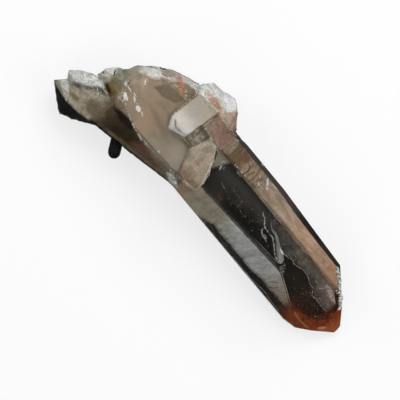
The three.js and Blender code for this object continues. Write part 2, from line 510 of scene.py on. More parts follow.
class Tree:
    """A Geometry Nodes tree with short calls for its nodes and its named inputs."""

    def __init__(self, name, inputs):
        self.tree = bpy.data.node_groups.new(name, "GeometryNodeTree")
        face = self.tree.interface
        face.new_socket("Geometry", in_out="INPUT", socket_type="NodeSocketGeometry")
        self.keys = {}
        for label, kind in inputs.items():
            self.keys[label] = face.new_socket(label, in_out="INPUT", socket_type=kind).identifier
        face.new_socket("Geometry", in_out="OUTPUT", socket_type="NodeSocketGeometry")
        self.start = self.node("NodeGroupInput")
        self.end = self.node("NodeGroupOutput")

    def node(self, kind, settings=None, sockets=None):
        return add_node(self.tree, kind, settings, sockets)

    def given(self, label):
        return self.start.outputs[label]


def fleck_tree():
    """Scatters small flat splinters over the faces that come in, at random turns and sizes."""
    t = Tree("flecks", {
        "Density": "NodeSocketFloat", "Size": "NodeSocketFloat", "Flatness": "NodeSocketFloat",
        "Seed": "NodeSocketInt", "Material": "NodeSocketMaterial",
    })
    points = t.node(
        "GeometryNodeDistributePointsOnFaces", {"distribute_method": "RANDOM"},
        {"Mesh": t.given("Geometry"), "Density": t.given("Density"), "Seed": t.given("Seed")},
    )
    grain = t.node("GeometryNodeMeshIcoSphere", None, {"Radius": 1.0, "Subdivisions": 1})
    turn = t.node(
        "FunctionNodeRandomValue", {"data_type": "FLOAT_VECTOR"},
        {"Min": (-0.25, -0.25, 0.0), "Max": (0.25, 0.25, math.tau), "Seed": t.given("Seed")},
    )
    spread = t.node(
        "FunctionNodeRandomValue", {"data_type": "FLOAT_VECTOR"},
        {"Min": (0.35, 0.2, 0.1), "Max": (1.0, 0.6, 0.2), "Seed": t.given("Seed")},
    )
    flat = t.node("ShaderNodeCombineXYZ", None, {0: 1.0, 1: 1.0, 2: t.given("Flatness")})
    shape = t.node(
        "ShaderNodeVectorMath", {"operation": "MULTIPLY"}, {0: spread.outputs[0], 1: flat.outputs[0]},
    )
    size = t.node(
        "ShaderNodeVectorMath", {"operation": "SCALE"}, {0: shape.outputs[0], "Scale": t.given("Size")},
    )
    copies = t.node("GeometryNodeInstanceOnPoints", None, {
        "Points": points.outputs["Points"], "Instance": grain.outputs["Mesh"],
        "Rotation": turn.outputs[0], "Scale": size.outputs[0],
    })
    real = t.node("GeometryNodeRealizeInstances", None, {"Geometry": copies.outputs[0]})
    done = t.node(
        "GeometryNodeSetMaterial", None, {"Geometry": real.outputs[0], "Material": t.given("Material")},
    )
    t.tree.links.new(done.outputs[0], t.end.inputs[0])
    return t


def keep_upper_faces(bm):
    """Leaves only the faces that look up, to scatter on."""
    bm.normal_update()
    bmesh.ops.delete(bm, geom=[f for f in bm.faces if f.normal.z < 0.2], context="FACES")


def scattered(bm, tree, name, slot, **inputs):
    """Runs a scattering tree on the bmesh's faces and makes the result a piece of the crystal."""
    ground = bpy.data.meshes.new(name + "_ground")
    bm.to_mesh(ground)
    bm.free()
    carrier = bpy.data.objects.new(name + "_ground", ground)
    bpy.context.scene.collection.objects.link(carrier)
    modifier = carrier.modifiers.new("scatter", "NODES")
    modifier.node_group = tree.tree
    for label, value in inputs.items():
        modifier[tree.keys[label]] = value
    result = carrier.evaluated_get(bpy.context.evaluated_depsgraph_get())
    mesh = bpy.data.meshes.new_from_object(result)
    mesh.name = name
    bpy.data.objects.remove(carrier)
    kept = bmesh.new()
    kept.from_mesh(mesh)
    drop_loose(kept)
    kept.to_mesh(mesh)
    kept.free()
    if not mesh.materials:
        mesh.materials.append(inputs["Material"])
    return placed(mesh, name)


def islands(bm):
    """The bmesh's separate bodies, each as a list of its vertices."""
    seen = set()
    for start in bm.verts:
        if start in seen:
            continue
        seen.add(start)
        island = [start]
        for vert in island:
            beside = [edge.other_vert(vert) for edge in vert.link_edges]
            fresh = [other for other in beside if other not in seen]
            seen.update(fresh)
            island.extend(fresh)
        yield island


def drop_loose(bm):
    """Takes out the bodies that lie wholly outside the quartz surface, which has to be built by then."""
    shell = bpy.data.objects["quartz_surface"].data
    tree = BVHTree.FromPolygons([v.co for v in shell.vertices], [f.vertices for f in shell.polygons])

    def is_outside(point):
        nearest, normal = tree.find_nearest(point)[:2]
        return (point - nearest).dot(normal) > 0

    loose = [vert for island in islands(bm) if all(is_outside(v.co) for v in island) for vert in island]
    bmesh.ops.delete(bm, geom=loose, context="VERTS")


# ---- Shader maths ----


class Sock:
    """A shader socket that takes part in arithmetic: each operator adds one Math node."""

    def __init__(self, tree, socket):
        self.tree = tree
        self.socket = socket

    def math(self, operation, *values, clamp=False):
        settings = {"operation": operation, "use_clamp": clamp}
        node = self.tree.node("ShaderNodeMath", settings, dict(enumerate(values)))
        return Sock(self.tree, node.outputs[0])

    def __add__(self, other):
        return self.math("ADD", self, other)

    __radd__ = __add__

    def __sub__(self, other):
        return self.math("SUBTRACT", self, other)

    def __rsub__(self, other):
        return self.math("SUBTRACT", other, self)

    def __mul__(self, other):
        return self.math("MULTIPLY", self, other)

    __rmul__ = __mul__

    def __truediv__(self, other):
        return self.math("DIVIDE", self, other)

    def __pow__(self, other):
        return self.math("POWER", self, other)

    def abs(self):
        return self.math("ABSOLUTE", self)

    def sqrt(self):
        return self.math("SQRT", self)

    def least(self, other):
        return self.math("MINIMUM", self, other)

    def most(self, other):
        return self.math("MAXIMUM", self, other)

    def held(self):
        return self.math("ADD", self, 0, clamp=True)

    def step(self, low, high):
        """0 at low, 1 at high, smooth between; low may be the larger."""
        sockets = {0: self, 1: low, 2: high, 3: 0.0, 4: 1.0}
        node = self.tree.node("ShaderNodeMapRange", {"interpolation_type": "SMOOTHSTEP"}, sockets)
        return Sock(self.tree, node.outputs[0])


class Shader:
    """One material's node tree, with short calls for the nodes that the crystal uses."""

    def __init__(self, name):
        self.material = bpy.data.materials.new(name)
        self.material.use_nodes = True
        self.tree = self.material.node_tree
        self.tree.nodes.clear()
        self.output = self.node("ShaderNodeOutputMaterial")
        place = self.node("ShaderNodeTexCoord").outputs["Object"]
        scaled = self.vector("SCALE", place, Scale=1 / MM)
        self.place = self.vector("SUBTRACT", scaled, tuple(SHIFT))
        parts = self.node("ShaderNodeSeparateXYZ", sockets={0: self.place})
        self.x, self.y, self.z = (Sock(self, out) for out in parts.outputs)
        self.base = None

    def node(self, kind, settings=None, sockets=None):
        return add_node(self.tree, kind, settings, sockets)

    def vector(self, operation, a, b=None, **named):
        sockets = {0: a, **named}
        if b is not None:
            sockets[1] = b
        return self.node("ShaderNodeVectorMath", {"operation": operation}, sockets).outputs[0]

    def noise(self, scale, detail=3.0, roughness=0.5, stretch=(1, 1, 1), shift=(0, 0, 0), turn=0.0):
        """Noise with grains of about 1 / scale millimetres, turned about Z and drawn out by stretch."""
        place = self.place
        if turn:
            turned = {"Vector": place, "Rotation": (0, 0, math.radians(turn))}
            place = self.node("ShaderNodeMapping", None, turned).outputs[0]
        place = self.vector("MULTIPLY_ADD", place, tuple(stretch), **{"Vector_002": tuple(shift)})
        sockets = {"Vector": place, "Scale": scale, "Detail": detail, "Roughness": roughness}
        return Sock(self, self.node("ShaderNodeTexNoise", None, sockets).outputs[0])

    def mix(self, factor, first, second):
        """A colour between two colours or colour links."""
        ends = [c if isinstance(c, bpy.types.NodeSocket) else rgba(c) for c in (first, second)]
        sockets = {0: factor, 6: ends[0], 7: ends[1]}
        return self.node("ShaderNodeMix", {"data_type": "RGBA"}, sockets).outputs[2]

    def tones(self, factor, first, second, gain=1.0):
        """A colour between two that are given as hex digits, both made lighter by a gain."""
        return self.mix(factor, tone(first, gain), tone(second, gain))

    def over(self, mask, colour):
        """Lays a colour over the base colour where the mask is 1."""
        self.base = self.mix(mask, self.base, colour)

    def lay(self, mask, code, gain):
        """Lays a colour that is given as hex digits over the base colour."""
        self.over(mask, tone(code, gain))

    def shaded(self, colour, amount):
        """A colour made lighter or darker by a number."""
        return self.vector("SCALE", colour, Scale=amount)

    def patch(self, x, y, half_x, half_y, turn=0.0, wobble=0.0, soft=0.3):
        """1 inside an ellipse in plan, 0 outside it; its rim is softened, and wobbled by noise."""
        angle = math.radians(turn)
        along = (self.x - x) * math.cos(angle) + (self.y - y) * math.sin(angle)
        across = (self.y - y) * math.cos(angle) - (self.x - x) * math.sin(angle)
        reach = ((along / half_x) ** 2 + (across / half_y) ** 2).sqrt()
        if wobble:
            reach = reach + (self.noise(0.6, 4, 0.6, shift=(x, y, 0)) - 0.5) * wobble
        return reach.step(1 + soft, 1 - soft)

    def inside(self, corners, soft=0.3, wobble=0.0):
        """1 inside a convex outline in plan, given anticlockwise, 0 outside it."""
        reach = None
        for (x0, y0), (x1, y1) in zip(corners, corners[1:] + corners[:1]):
            length = math.hypot(x1 - x0, y1 - y0)
            nx, ny = (y0 - y1) / length, (x1 - x0) / length
            sockets = {0: self.place, 1: (nx, ny, 0)}
            dot = self.node("ShaderNodeVectorMath", {"operation": "DOT_PRODUCT"}, sockets)
            edge = Sock(self, dot.outputs["Value"]) - (x0 * nx + y0 * ny)
            reach = edge if reach is None else reach.least(edge)
        if wobble:
            reach = reach + (self.noise(0.7, 4, 0.6, shift=(*corners[0], 0)) - 0.5) * wobble
        return reach.step(-soft / 2, soft / 2)

    def bump(self, height, distance):
        return self.node("ShaderNodeBump", None, {"Height": height, "Distance": distance * MM}).outputs[0]

    def principled(self, **sockets):
        named = {label.replace("_", " "): value for label, value in sockets.items()}
        return self.node("ShaderNodeBsdfPrincipled", None, named)

    def finish(self, surface, volume=None):
        self.tree.links.new(surface.outputs[0], self.output.inputs["Surface"])
        if volume is not None:
            self.tree.links.new(volume.outputs[0], self.output.inputs["Volume"])
        return self.material


def tone(code, gain=1.0):
    """A linear colour from the six hex digits that it should look like, made lighter by a gain."""
    parts = [int(code[i:i + 2], 16) / 255 for i in (0, 2, 4)]
    linear = [p / 12.92 if p < 0.04045 else ((p + 0.055) / 1.055) ** 2.4 for p in parts]
    return tuple(min(p * gain, LIGHTEST) for p in linear)


def rgba(colour):
    return (*colour[:3], 1)


# ---- Materials ----


def quartz_material(colours):
    """Clear smoky quartz: glassy on the prism, frosted on the root."""
    s = Shader("smoky_quartz")
    root = s.x.step(-4.0, -9.0)
    crest = s.patch(-20, 17, 12, 4.2, turn=5) * root
    grain = s.noise(1.3, 4)
    rough = 0.03 + root * (0.03 + 0.12 * grain) + crest * 0.1
    ladder = s.noise(1.0, 3, 0.6, stretch=(2.6, 0.16, 0.16))
    side = s.z.step(23.7, 22.5) * (1 - root)
    height = s.noise(0.9, 5, 0.6) * root * 6 + ladder * side
    surface = s.principled(
        Base_Color=(1, 1, 1, 1), Roughness=rough, IOR=QUARTZ_IOR, Transmission_Weight=1.0,
        Normal=s.bump(height, 0.05),
    )
    volume = s.node(
        "ShaderNodeVolumeAbsorption", None,
        {"Color": rgba(colours.smoke), "Density": colours.smoke_density},
    )
    return s.finish(surface, volume)


def matt(s, **sockets):
    """A dull body colour: what is sealed in the quartz has no gloss of its own."""
    return s.finish(s.principled(Base_Color=s.base, Roughness=0.7, Specular_IOR_Level=0.0, **sockets))


def dark_core_material(colours):
    """The dark core, painted shade: a near-black body that stands in for the darkness seen through the clear
    prism, greyer on its far side; browner and rust-stained towards the tip.
    """
    s = Shader("dark_phantom")
    patches = s.noise(0.28, 4, stretch=(0.6, 1, 1))
    speckle = s.noise(1.5, 4, 0.65)
    # Painted shade: near black all over, for the darkness seen through the clear prism.
    s.base = s.mix(patches.step(0.45, 0.7), rgba(colours.phantom), tone("211e1a", 1.3))
    s.lay((s.x + (patches - 0.5) * 7).step(8, 1), "2d2c27", 1.5)
    grey = (s.y + (patches - 0.5) * 8).step(-1.5, 3.6) * s.x.step(26, 18)
    s.lay(grey, "363430", 1.8)
    low = (s.y + (speckle - 0.5) * 1.5).step(-9.6, -10.8) * s.x.step(26, 16)
    s.over(low, s.tones(speckle.step(0.4, 0.6), "262520", "45433c", 1.2))
    s.lay(s.x.step(31, 36), "2a241c", 1.3)
    brown = (s.x + (patches - 0.5) * 7).step(37, 44) * s.y.step(9.5, 8)
    s.over(brown, s.tones(speckle.step(0.38, 0.62), "2c1e12", "432e1e", 1.3))
    stain = (tip_arch(s) + (patches - 0.5) * 0.5).step(0.4, 1.0) * s.x.step(40, 44)
    s.over(stain, s.mix(speckle.step(0.38, 0.62), tone("43261a", 1.4), tone("5e3420", 1.5)))
    reddish = s.patch(3.4, -3.8, 1.1, 0.5, turn=-12, wobble=2.6, soft=0.8) * speckle.step(0.4, 0.6)
    s.lay(reddish * 0.45, "7a4a42", 1.4)
    return matt(s)


def tip_arch(s):
    """1 on the arch where the dark zone gives way to rust, less inside it."""
    return (((s.x - 43.5) / 9.3) ** 2 + ((s.y + 2.9) / 6.0) ** 2).sqrt()


def grey_sheet_material(colours):
    """The silvery grey sheet under the near upper face, which makes that face light grey."""
    s = Shader("grey_sheet")
    gain = colours.veil_gain
    streaks = s.noise(0.55, 5, 0.62, stretch=(1, 0.3, 0.3), turn=35)
    fine = s.noise(2.4, 4, 0.6, stretch=(1.4, 0.35, 0.35), turn=35)
    upright = s.noise(0.9, 3, 0.55, stretch=(1.5, 0.2, 0.2), shift=(2, 0, 0))
    pattern = streaks * 0.6 + fine * 0.25 + upright * 0.15
    silver = s.tones(pattern.step(0.34, 0.64), "7b7c79", "a0a2a0", gain)
    olive = s.tones(pattern.step(0.35, 0.62), "6e6c5e", "8b8576", gain)
    s.base = s.mix((s.x + (streaks - 0.5) * 9).step(7, 15), olive, silver)
    s.lay((s.x + (streaks - 0.5) * 7).step(0, -6), "83705d", gain)
    drift = s.x - (s.y + 5) * 0.9 + (streaks - 0.5) * 6
    s.over(drift.step(30, 40), s.tones(fine.step(0.4, 0.6), "71645a", "888073", gain))
    s.lay(drift.step(41, 47), "563a29", gain)
    s.lay(s.patch(-2.6, -6.7, 1.5, 1.6, turn=30, wobble=1.2, soft=0.5), "988b79", gain)
    lower = s.y + s.x.step(9, 1) * 2.8 - s.x.step(24, 30) * 0.5 + (streaks - 0.5) * 1.3
    upper = (s.y - s.x * 0.05 + (fine - 0.5) * 0.5).step(-5.4, -5.75)
    alpha = lower.step(-10.4, -9.0) * (0.1 + 0.9 * upper) * (0.84 + 0.16 * streaks)
    return matt(s, Alpha=alpha.held())


def tan_veil_material(colours):
    """The tan veil under the far upper face and the end face beside it."""
    s = Shader("tan_veil")
    gain = colours.veil_gain
    streaks = s.noise(0.4, 5, 0.55, stretch=(0.6, 1, 1))
    fine = s.noise(1.6, 4, 0.6)
    upright = s.noise(0.9, 4, 0.6, stretch=(1.6, 0.3, 0.3))
    pattern = streaks * 0.65 + fine * 0.35
    s.base = s.tones(pattern.step(0.38, 0.62), "6a5d4d", "89796c", gain)
    warm = s.tones(pattern.step(0.38, 0.62), "76604c", "907a69", gain)
    s.over((s.x + (streaks - 0.5) * 8).step(18, 28), warm)
    s.lay((s.x + (streaks - 0.5) * 4).step(38, 43), "8b705a", gain * 1.1)
    muddy = s.tones(upright.step(0.38, 0.62), "55473a", "7c6c58", gain)
    s.over((s.x + (streaks - 0.5) * 9).step(13, 6), muddy)
    start = s.tones(upright, "3b3025", "64533f", gain)
    s.over((s.x + (upright - 0.5) * 5).step(1.5, -1.5), start)
    rusty = s.patch(-1.2, 9, 1.3, 2.0, wobble=2.2, soft=0.8) + s.patch(-7.6, 10.2, 0.4, 1.4, wobble=0.6)
    s.lay(rusty.held() * 0.5 * upright.step(0.3, 0.6), "63392a", gain)
    strip = s.patch(-6.0, 8.6, 0.9, 3.2, turn=4, wobble=1.2, soft=0.6)
    s.lay(strip * 0.45, "7d7160", gain)
    s.lay(s.patch(1.3, 7.8, 1.1, 1.3, wobble=1.0, soft=0.4) * 0.6, "7d6e5b", gain)
    s.lay((s.x + (streaks - 0.5) * 3).step(-6.2, -8), "7a675b", gain * 0.92)
    edge = s.y.step(5.35, 6.3)
    alpha = (0.35 + 0.65 * edge) * (0.9 + 0.1 * streaks) * s.x.step(-10.2, -8.6)
    return matt(s, Alpha=alpha)


def smoke_veil_material():
    """The thin grey-brown veil over the dark core's far half, and the grey wedge where the prism starts."""
    s = Shader("smoke_veil")
    clouds = s.noise(0.3, 5, 0.6)
    fine = s.noise(1.4, 4, 0.6)
    pattern = (clouds * 0.6 + fine * 0.4).step(0.32, 0.66)
    s.base = s.tones(pattern, "32302e", "56524e", 1.35)
    s.over((s.x + (clouds - 0.5) * 6).step(26, 33), s.tones(pattern, "534e45", "7b7468", 1.35))
    s.over(s.x.step(40, 44), s.tones(pattern, "5e524b", "82746b", 1.4))
    grainy = s.patch(46.6, 3.3, 3.6, 1.0, turn=-10, wobble=0.9, soft=0.5) * fine.step(0.38, 0.56)
    s.lay(grainy, "c4b8a9", 1.4)
    s.lay(s.x.step(48.5, 51), "5a3b28", 1.4)
    s.over(s.x.step(2, -2), s.tones(pattern, "666055", "908878", 1.35))
    edge = (s.y + s.x.step(40.5, 43.5) * 2.2 + (clouds - 0.5) * 1.2).step(0.9, 3.2)
    fade = 1 - s.x.step(29, 31.5) * (1 - edge) * 0.75
    far = (s.x + (clouds - 0.5) * 8).step(13, 23) * (0.7 + 0.3 * clouds) * fade
    near = (s.x - s.y * 0.45 + (fine - 0.5) * 1.2).step(-4.8, -5.6)
    return matt(s, Alpha=far.most(near))


def fin_material():
    """The smooth grey fin that slants across the black: streaked along its length, with one bright spot."""
    s = Shader("grey_fin")
    streaks = s.noise(1.1, 3, 0.5, stretch=(0.2, 1.8, 1), turn=27)
    s.base = s.tones(streaks.step(0.35, 0.62), "6a6865", "9a9894", 1.1)
    s.lay(s.patch(27.5, 0.1, 1.0, 0.35, turn=-12, soft=0.6), "dedbd5", 1.3)
    grains = s.noise(2.2, 4, 0.65)
    s.over(s.x.step(29.4, 31), s.tones(grains.step(0.38, 0.6), "3e3a34", "9a9083", 1.2))
    alpha = (0.12 + 0.88 * s.x.step(17.5, 22.5)) * (1 - s.x.step(30, 31) * grains.step(0.58, 0.48) * 0.8)
    alpha = alpha * (1 - s.x.step(15, 13) * grains.step(0.56, 0.44) * 0.8)
    return matt(s, Alpha=alpha)


def crack_material(colours):
    """Silvery healed cracks, broken up into grains."""
    s = Shader("healed_crack")
    grains = s.noise(2.8, 3, 0.6)
    s.base = s.mix(grains.step(0.38, 0.62), tone("6f6c67", 1.2), rgba(colours.crack))
    alpha = 0.12 + 0.88 * s.noise(2.6, 3, 0.6, shift=(4, 1, 0)).step(0.42, 0.54)
    return s.finish(s.principled(Base_Color=s.base, Roughness=0.45, Specular_IOR_Level=0.2, Alpha=alpha))


def crevice_material():
    """Dark brown-grey crevices and shadowed seams."""
    s = Shader("dark_crevice")
    grains = s.noise(1.8, 3, 0.6)
    s.base = s.tones(grains.step(0.35, 0.65), "2b251c", "57503f", 1.2)
    alpha = 0.35 + 0.55 * s.noise(1.3, 3, 0.6, shift=(0, 7, 0)).step(0.36, 0.56)
    return matt(s, Alpha=alpha)


def seam_material():
    """Cream seams between the root's intergrown crystals."""
    s = Shader("cream_seam")
    grains = s.noise(2.2, 4, 0.6)
    s.base = s.mix(grains.step(0.35, 0.65), tone("98866a", 1.35), tone("dccfb6", 1.4))
    alpha = 0.15 + 0.8 * s.noise(1.1, 4, 0.65).step(0.36, 0.56)
    return matt(s, Alpha=alpha)


def frost_material(colours):
    """White frosted chips along the rims."""
    s = Shader("white_frost")
    grains = s.noise(1.9, 5, 0.65)
    s.base = s.mix(grains.step(0.34, 0.6), tone("8d8c86", 1.4), rgba(colours.frost))
    alpha = s.noise(0.9, 4, 0.65, shift=(3, 0, 0)).step(0.3, 0.46)
    return matt(s, Alpha=alpha)


def crust_material():
    """The chipped whitish crust along the tip's far edge."""
    s = Shader("tip_crust")
    grains = s.noise(1.5, 5, 0.65)
    s.base = s.tones(grains.step(0.36, 0.6), "74756d", "c9cbc6", 1.1)
    return matt(s, Normal=s.bump(grains, 0.3))


def cross_material():
    """The cream crystal across the root, with its bright end faces."""
    s = Shader("cream_crystal")
    clouds = s.noise(0.4, 4, 0.55)
    scratches = s.noise(1.6, 4, 0.65, stretch=(1.2, 0.35, 1), turn=12)
    s.base = s.mix((s.y + (clouds - 0.5) * 5).step(8.5, 1.5), tone("b0a698", 1.2), tone("d0ccc5", 1.22))
    s.lay(s.patch(-21.5, 6.3, 3, 1.6, wobble=0.9, soft=0.6) * 0.7, "aeab9d", 1.2)
    s.lay(s.patch(-20.6, -0.1, 1.6, 0.4, turn=8, soft=0.5) * 0.8, "948d8b", 1.2)
    s.lay(s.patch(-23.7, -0.5, 1.7, 0.16, turn=-39, soft=0.5), "857d72", 1.1)
    s.lay(s.patch(-22.4, 0.35, 1.2, 0.3, turn=-37, soft=0.5) * 0.8, "7d7872", 1.1)
    top = s.inside(((-25, 1), (-22.4, -1.3), (-18, 0.4), (-17.1, 1.5), (-16, 12), (-26, 12)), 0.2)
    s.base = s.mix(top, tone("e4e1dc", 1.5), s.base)
    s.base = s.shaded(s.base, 0.86 + 0.28 * scratches)
    return matt(s, Normal=s.bump(scratches, 0.12))


def step_material():
    """The dark-grey block between the cream crystal and the plate."""
    s = Shader("grey_step")
    clouds = s.noise(0.7, 5, 0.65)
    s.base = s.mix(clouds.step(0.35, 0.65), tone("544f45", 1.8), tone("8a8170", 1.9))
    s.lay((s.y + (clouds - 0.5) * 1.5).step(3.8, 5.0), "484238", 1.8)
    s.lay(s.y.step(1.8, 0.4), "857d6e", 1.2)
    return matt(s, Normal=s.bump(clouds, 0.3))


def plate_material():
    """The grainy plate over the start of the prism, with its pale rim: a painted highlight along its edges.
    """
    s = Shader("grainy_plate")
    grains = s.noise(1.9, 4, 0.75)
    clouds = s.noise(0.35, 4)
    s.base = s.tones(clouds.step(0.35, 0.65), "83796a", "9a8f7e", 1.7)
    s.lay((s.y + (clouds - 0.5) * 3).step(-4, -7.5), "83705b", 1.5)
    s.lay(s.patch(-8, -4.2, 2.8, 1.9, wobble=0.6, soft=0.7) * 0.2, "a89b89", 1.8)
    s.lay(s.patch(-12.2, 1.6, 0.7, 3.2, turn=-22, wobble=0.5) * 0.6, "a49b8a", 1.6)
    s.lay(s.patch(-8.8, -2.4, 1.0, 0.4, wobble=1.2, soft=0.7) * 0.6, "a05a42", 1.5)
    # Painted highlight: the plate's edges, outside this core, are pale.
    core = ((-14.5, -1), (-11.5, -9.5), (-3.4, -7.6), (-3.7, -5), (-7.5, 3), (-9, 4.4), (-13, 5))
    s.base = s.mix(s.inside(core, 0.4), tone("b0a797", 1.5), s.base)
    s.base = s.shaded(s.base, 0.25 + 1.5 * grains)
    return matt(s, Normal=s.bump(grains, 0.3))


def cloud_material(colours):
    """The cloudy quartz just under the root's surface, with each part of the root in its own colour; painted
    shade darkens its near flank, a recess, a finger's groove and its underside.
    """
    s = Shader("cloudy_quartz")
    gain = colours.cloud_gain
    wide = s.noise(0.22, 4, 0.55)
    mottle = s.noise(0.75, 5, 0.65)
    fine = s.noise(2.3, 4, 0.6)
    speckled = (mottle * 0.5 + fine * 0.5).step(0.4, 0.6)
    calm = s.patch(-24, -2.5, 17, 8.5, soft=0.35)
    body = s.tones((s.x + (wide - 0.5) * 8).step(-20, -28), "7e776a", "8c7964", gain)
    plain = s.mix(wide.step(0.4, 0.65), body, tone("7c705f", gain))
    s.base = plain

    def lay(mask, code, strength=1.0, second=None):
        colour = tone(code, gain)
        if second is not None:
            colour = s.mix(speckled, colour, tone(second, gain))
        s.over(mask * strength if strength != 1.0 else mask, colour)

    # The flank below the near ridge, from its grey-brown left to its thin right, in brown and red-brown,
    # darkened with painted shade where it turns away from the light.
    lay(s.inside(((-46, -12), (-45, -19.5), (-35, -19), (-35, -9.8), (-42, -9.5)), 2.4, 2.0), "655b49")
    brown = ((-38.5, -9.2), (-39, -20), (-26, -17), (-9, -12.8), (-9, -9.9), (-30, -10.1))
    lay(s.inside(brown, 1.4, 1.2), "4b3d2c")
    lay(s.patch(-31, -13.2, 6.6, 2.4, turn=14, wobble=0.7, soft=0.5), "33270f")
    # Painted shadow: near black in the recess between the ridge and the lower finger.
    lay(s.patch(-33.2, -10.6, 4.4, 1.3, turn=3, wobble=0.3), "20130b")
    lay(s.patch(-23, -12.2, 3.2, 1.2, turn=14, wobble=0.8, soft=0.6), "6a4a3c", 0.75)
    lay(s.patch(-17, -11.2, 3.0, 0.9, turn=12, wobble=0.6, soft=0.7), "6c5338", 0.6)
    rim = s.y - s.x * 0.215 + (mottle - 0.5) * 0.35
    length = s.x.step(-37, -33) * s.x.step(-10, -14)
    lay((rim + 9.1).abs().step(0.65, 0.25) * length, "786a4c", 0.85)
    # Painted shade: a thin near-black band along the lower outline, where the flank turns under.
    lay(rim.step(-9.5, -9.8) * s.x.step(-41, -39), "17130c")

    # The mauve shelf between the crest and the prism, and the crest's slope.
    lay(s.inside(((-16.8, 6.0), (-4, 5.4), (-4, 11.8), (-16.6, 11.4)), 0.4, 0.3), "806d60", 1.0, "8a7869")
    lay(s.patch(-9.5, 8.6, 3.6, 2.6, wobble=0.5, soft=0.6), "8a6f63")
    lay(s.inside(((-17, 11.6), (-6, 11.8), (-13, 19), (-17.5, 19)), 0.5, 0.6), "a69485")
    slope = ((-11.5, 11.8), (-6, 11.8), (-12.6, 18.6), (-14.2, 17.8))
    lay(s.inside(slope, 0.6, 0.5), "8f7767", 1.0, "9c897a")
    crest = ((-31, 10.6), (-17, 11.4), (-14.2, 15.2), (-15, 20), (-27, 20))
    lay(s.inside(crest, 0.7, 1.6), "b0b1ac", 1.0, "c6c7c4")
    lay(s.patch(-16.6, 16.8, 2.4, 1.6, soft=0.7), "e2e3e1", 0.9)

    # The frosted rim above the left shoulder, and the grey-green left shoulder.
    shoulder = (s.y - 4 - (s.x + 43) * 0.63) / 1.18 + (mottle - 0.5) * 3.2
    lay(shoulder.step(-3.0, -1.6) * s.x.step(-26, -30), "b5b6ac", 1.0, "dededb")
    lay((s.x + (mottle - 0.5) * 3).step(-39.5, -42), "8f8d7e")
    lay(s.patch(-38.4, 5.3, 4.2, 2.0, turn=38, wobble=0.8), "c6c7c2", 1.0, "dddcd9")

    # Stains and windows on the upper side.
    lay(s.patch(-35, 8.2, 2.4, 1.0, turn=30, wobble=0.6, soft=0.5), "8c7d6c", 0.8)
    lay(s.patch(-30, 8.7, 4.0, 1.2, turn=-20, wobble=0.8, soft=0.6), "957559", 0.75, "a98c72")
    lay(s.patch(-29.8, 8.8, 2.4, 0.6, turn=-28, wobble=1.2, soft=0.8), "a8653e", 0.55)
    lay(s.patch(-19, 12.6, 3.4, 1.6, turn=-8, wobble=0.9, soft=0.6), "927359", 0.85, "a78b70")
    lay(s.patch(-18.8, 13.8, 1.7, 0.45, turn=-18, wobble=0.8, soft=0.7), "b0663f", 0.55)
    lay(s.patch(-22.8, 13.2, 1.7, 0.35, turn=38, wobble=0.7, soft=0.6), "ab7a55", 0.45)
    lay(s.inside(((-34.8, 2.4), (-31, 2.4), (-27.2, 4), (-25.6, 7), (-33, 6.2)), 0.5, 0.5), "6b5e4c")
    lay(s.patch(-41, -0.6, 2.2, 1.6, wobble=0.7, soft=0.6), "958a79")
    lay(s.patch(-36, -1, 3, 1.6, turn=-8, wobble=0.8, soft=0.7), "8f806c", 0.7)
    lay(s.patch(-14.6, -5.2, 3.8, 3.0, wobble=0.8, soft=0.7), "8d8475")
    lay(s.patch(-25.5, -3.4, 5, 0.9, turn=-14, wobble=1.0, soft=0.8), "695d4e", 0.6)
    lay(s.patch(-21, -8, 5, 0.8, turn=4, wobble=1.0, soft=0.8), "8c7f6e", 0.6)
    lay(s.patch(-18.2, -1.9, 4.2, 0.5, turn=14, wobble=0.6, soft=0.8), "6a6254", 0.7)
    lay(s.patch(-38.4, 1.7, 2.2, 1.0, turn=-48, wobble=0.9, soft=0.6), "a39582", 0.7)
    lay(s.patch(-39.4, -6.6, 0.9, 1.9, turn=20, wobble=0.3), "9d8f79")

    # The green-grey hollow, the knob and the fingers: frosted above, and near black on their underside, which
    # is painted shade.
    lay(s.patch(-44.4, -2.6, 2.2, 2.4, wobble=0.6, soft=0.5), "7d8070", 1.0, "919484")
    lay(s.patch(-43.2, -6.6, 3.0, 2.8, wobble=0.5, soft=0.6), "6a654b")
    lay(s.patch(-42.4, -7.9, 1.9, 1.5, wobble=0.5, soft=0.6), "7a6539")
    lay(s.patch(-46.9, -6.9, 2.0, 1.6, wobble=0.8, soft=0.5), "ada89a")
    lay(s.patch(-47.3, -4.2, 2.1, 1.4, turn=15, wobble=0.5), "dcdedb", 1.0, "f2f4f2")
    upper = ((-57, -14), (-53.4, -16.8), (-47.5, -13.2), (-44, -9.6), (-47.5, -7), (-52, -9))
    lay(s.inside(upper, 0.6, 0.8), "a0a19b", 1.0, "c3c4c1")
    lower = ((-51, -15.8), (-52, -18.8), (-48, -20.6), (-40, -19.6), (-40, -12.5), (-47, -13.8))
    lay(s.inside(lower, 1.2, 1.0), "978e7b", 1.0, "a69d8a")
    lay(s.patch(-41.4, -15.2, 3.4, 2.6, turn=10, wobble=0.6, soft=0.5), "706452")
    lay(s.patch(-45, -12.6, 3.0, 1.6, turn=40, wobble=0.7, soft=0.5), "8f8976", 1.0, "a49f8e")
    # Painted shade: the soft dark groove along the upper finger.
    for x, y, turn in ((-50, -14.5, 32), (-47.4, -12.8, 48), (-45.4, -11, 42), (-43.6, -10.2, 10)):
        lay(s.patch(x, y, 1.8, 0.65, turn=turn, wobble=0.5, soft=0.75), "4f4e41", 0.85)
    lay(s.patch(-48, -17.6, 1.8, 0.7, wobble=0.7, soft=0.6), "57502f", 0.8)
    lay(s.patch(-52.8, -17.4, 2.2, 1.2, turn=-20, wobble=0.6), "c8c9bf", 1.0, "f5f5ec")
    lay(s.patch(-50.2, -19.5, 2.4, 0.45, turn=-26, wobble=0.7), "a09d90", 0.8)
